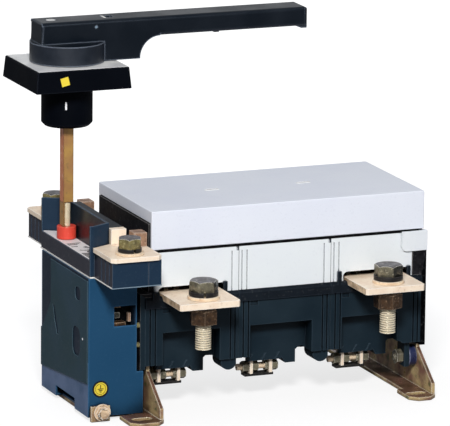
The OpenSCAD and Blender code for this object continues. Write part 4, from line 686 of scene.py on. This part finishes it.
block("mark_one", (-38.0, 44.0, ink_low_z), (-33.0, 45.3, ink_z), ink, "instruction_label")
ring("mark_zero", (-30.0, 26.2, ink_low_z), "z", (1.3, 2.4), ink_t, ink, "instruction_label")
margin_pitch, margin_width = 2.4, 1.1
for k in range(3):
    y = 50.0 + margin_pitch * k
    block(f"margin_{k}", (-38.0, y, ink_low_z), (-31.0 + 2.0 * k, y + margin_width, ink_z), ink,
          "instruction_label")

# Earth sign: a black surround, a thin circle and the earth symbol on the yellow disc.
earth_x, earth_y, earth_z = -31.7, -1.36, 24.4
surround_t = 0.36
ring("earth_surround", (earth_x, earth_y, earth_z), "y", (5.1, 6.3), surround_t, ink, "earth_label")
ring("earth_circle", (earth_x, earth_y, earth_z), "y", (3.9, 4.2), ink_t, ink, "earth_label")
earth_bars = ((0.3, 0.3, 3.2), (2.2, -0.3, 0.3), (1.45, -1.4, -0.8), (0.7, -2.5, -1.9))
for k, (half, low, high) in enumerate(earth_bars):
    block(f"earth_bar_{k}", (earth_x - half, earth_y, earth_z + low),
          (earth_x + half, earth_y + ink_t, earth_z + high), ink, "earth_label")


# Shaft: square steel bar, copper coloured and chromated, on a round spindle with a red collar at its foot.
# A strap couples the two. The bar's left side is pinker than its front.
shaft_steel = finish("shaft_steel", (0.50, 0.29, 0.085), metallic=0.2, blotch=(0.38, 0.19, 0.08),
                     blotch_scale=75.0, blotch_amount=0.85, speck=(0.14, 0.12, 0.05), speck_scale=220.0,
                     speck_amount=0.5, edge=(0.10, 0.04, 0.02), edge_radius=0.0012, edge_amount=0.9,
                     rough=0.3, rough_spread=0.15, grain_scale=1200.0, grain_depth=0.2)
shaft_copper = finish("shaft_copper", (0.68, 0.27, 0.14), metallic=0.1, specular=0.25,
                      blotch=(0.50, 0.18, 0.10), blotch_scale=75.0, blotch_amount=0.7,
                      speck=(0.95, 0.66, 0.50), speck_scale=220.0, speck_amount=0.5, edge=(0.16, 0.06, 0.04),
                      edge_radius=0.0012, edge_amount=0.9, rough=0.35, rough_spread=0.15, grain_scale=1200.0,
                      grain_depth=0.2)
red_plastic = finish("red_plastic", (0.80, 0.075, 0.045), blotch=(0.70, 0.055, 0.035), blotch_scale=80.0,
                     blotch_amount=0.5, speck=(0.85, 0.25, 0.18), speck_scale=500.0, speck_amount=0.2,
                     edge=(0.88, 0.25, 0.18), edge_amount=0.4, rough=0.32, rough_spread=0.1,
                     grain_scale=1500.0, grain_depth=0.1)
leftward = 0.5
eased("extension_shaft", shaft_steel, width=0.2 * MM, other=shaft_copper,
      where=lambda polygon: polygon.normal.x < -leftward)
eased("coupling_strap", shaft_steel, width=0.15 * MM)
eased("red_collar", red_plastic, width=0.5 * MM)
eased("drive_spindle", thread_steel, width=0.2 * MM)


# Handle: black glass-filled nylon, with a square escutcheon and a round bearing sleeve below it.
# The lever holds a pale plug and a steel padlock plate. The escutcheon and the sleeve stay on the cabinet's
# door when the handle turns.
black_nylon = finish("black_nylon", (0.003, 0.006, 0.011), specular=0.22, blotch=(0.008, 0.012, 0.019),
                     blotch_scale=28.0, blotch_amount=0.8, speck_amount=0.0, edge=(0.20, 0.24, 0.31),
                     edge_radius=0.0016, edge_amount=0.7, rough=0.28, rough_spread=0.14, grain_scale=1800.0,
                     grain_depth=0.25)
deep_black = finish("deep_black", (0.001, 0.0018, 0.004), specular=0.04, blotch=(0.002, 0.003, 0.006),
                    blotch_scale=40.0, speck_amount=0.0, edge=(0.06, 0.07, 0.10), edge_amount=0.5, rough=0.5,
                    grain_depth=0.2)
hub_nylon_sheen = finish("hub_nylon_sheen", (0.008, 0.012, 0.020), specular=0.35, blotch=(0.022, 0.028, 0.040),
                   blotch_scale=60.0, blotch_amount=0.8, speck_amount=0.0, edge=(0.24, 0.28, 0.35),
                   edge_radius=0.0016, edge_amount=0.9, rough=0.28, rough_spread=0.1, grain_depth=0.25)
grey_label = finish("grey_label", (0.97, 0.98, 0.98), blotch=(0.50, 0.51, 0.55), blotch_scale=38.0,
                    blotch_amount=0.7, speck=(0.3, 0.3, 0.34), speck_scale=500.0, speck_amount=0.15,
                    rough=0.4, edge_amount=0.0)
plug_white = finish("plug_white", (0.80, 0.80, 0.80), blotch=(0.7, 0.7, 0.7), rough=0.4, edge_amount=0.0)
shaft_x, shaft_y = -31.5, 73.0
shaft_axis = case_corner + Vector((shaft_x, shaft_y, 0.0)) * MM
hub_r, hub_skin, hub_below_top = 28.0 * MM, 0.6 * MM, 16.3 * MM
lever_half, top_band, touch = 12.5 * MM, 2.0 * MM, 0.05 * MM
shell_points = [vert.co for vert in nodes["handle_shell"].data.vertices]
handle_top = max(co.z for co in shell_points)
handle_back = min(co.x for co in shell_points if co.z > handle_top - top_band)


def on_hub(polygon):
    """True for the faces of the turning hub's rim."""
    reach = math.hypot(polygon.center.x - shaft_axis.x, polygon.center.y - shaft_axis.y)
    return polygon.center.z < handle_top - hub_below_top and abs(reach - hub_r) < hub_skin


def on_lever_edge(edge):
    """True for the lever's top edges and for the upright edges of its back end."""
    ends = [vert.co for vert in edge.verts]
    on_side = all(abs(abs(co.y - shaft_axis.y) - lever_half) < touch for co in ends)
    on_top = all(co.z > handle_top - touch for co in ends)
    on_back = all(co.x < handle_back + touch for co in ends)
    return (on_side and on_top) or (on_side and on_back) or (on_top and on_back)


lever_round = 1.8 * MM
# The hub's rim takes a paler, glossier copy of the nylon, as painted sheen. The lever's edges are painted
# paler, as painted highlight.
eased("handle_shell", black_nylon, width=0.4 * MM, clamp=True, other=hub_nylon_sheen, where=on_hub,
      soft=on_lever_edge, soft_width=lever_round)
eased("escutcheon", deep_black, width=0.8 * MM, segments=3)
eased("bearing_sleeve", deep_black, width=0.3 * MM)
sleeve_front = shaft_y - 19.25
mark_half, mark_low_z, mark_top_z = 0.7, 224.7, 230.5
block("sleeve_mark", (shaft_x - mark_half, sleeve_front - 0.05, mark_low_z),
      (shaft_x + mark_half, sleeve_front + 0.4, mark_top_z), rubbed_white, "bearing_sleeve",
      turn=-22.0, pivot=(shaft_x, shaft_y))
eased("escutcheon_label", grey_label, width=0.0)
eased("handle_plug", plug_white, width=0.0, other=dull_rim,
      where=lambda polygon: polygon.center.z < handle_top - top_band)
hasp_steel = finish("hasp_steel", (0.92, 0.90, 0.86), metallic=0.2, blotch=(0.70, 0.68, 0.62),
                    blotch_scale=200.0, blotch_amount=0.6, rough=0.3, rough_spread=0.15, grain_depth=0.2)
eased("padlock_hasp", hasp_steel, width=0.2 * MM)


# Inside: the rotor with its blades, the slide and its rods, and the arc plates, none of them seen from
# outside. The rotor is moulded nylon, its blades are tinned copper, and fibre cheeks hold the steel plates.
def coat_node(node, look):
    """Gives a CAD node that keeps its own mesh its finish."""
    target = nodes[node]
    target.data.materials.clear()
    target.data.materials.append(look)


rotor_nylon = finish("rotor_nylon", (0.16, 0.08, 0.05), blotch=(0.11, 0.055, 0.035), rough=0.45,
                     edge_amount=0.3)
fibre = finish("fibre", (0.42, 0.13, 0.07), blotch=(0.34, 0.10, 0.05), rough=0.6, edge_amount=0.2)
for name, look in (("rotor_shaft", rotor_nylon), ("rotor_hubs", rotor_nylon), ("moving_blades_1", tin),
                   ("moving_blades_3", tin), ("blade_pins", bolt_steel), ("rotor_crank", black_steel),
                   ("drive_slider", chromate), ("guide_rods", bolt_steel), ("arc_plates", bolt_steel),
                   ("arc_cheeks", fibre)):
    coat_node(name, look)
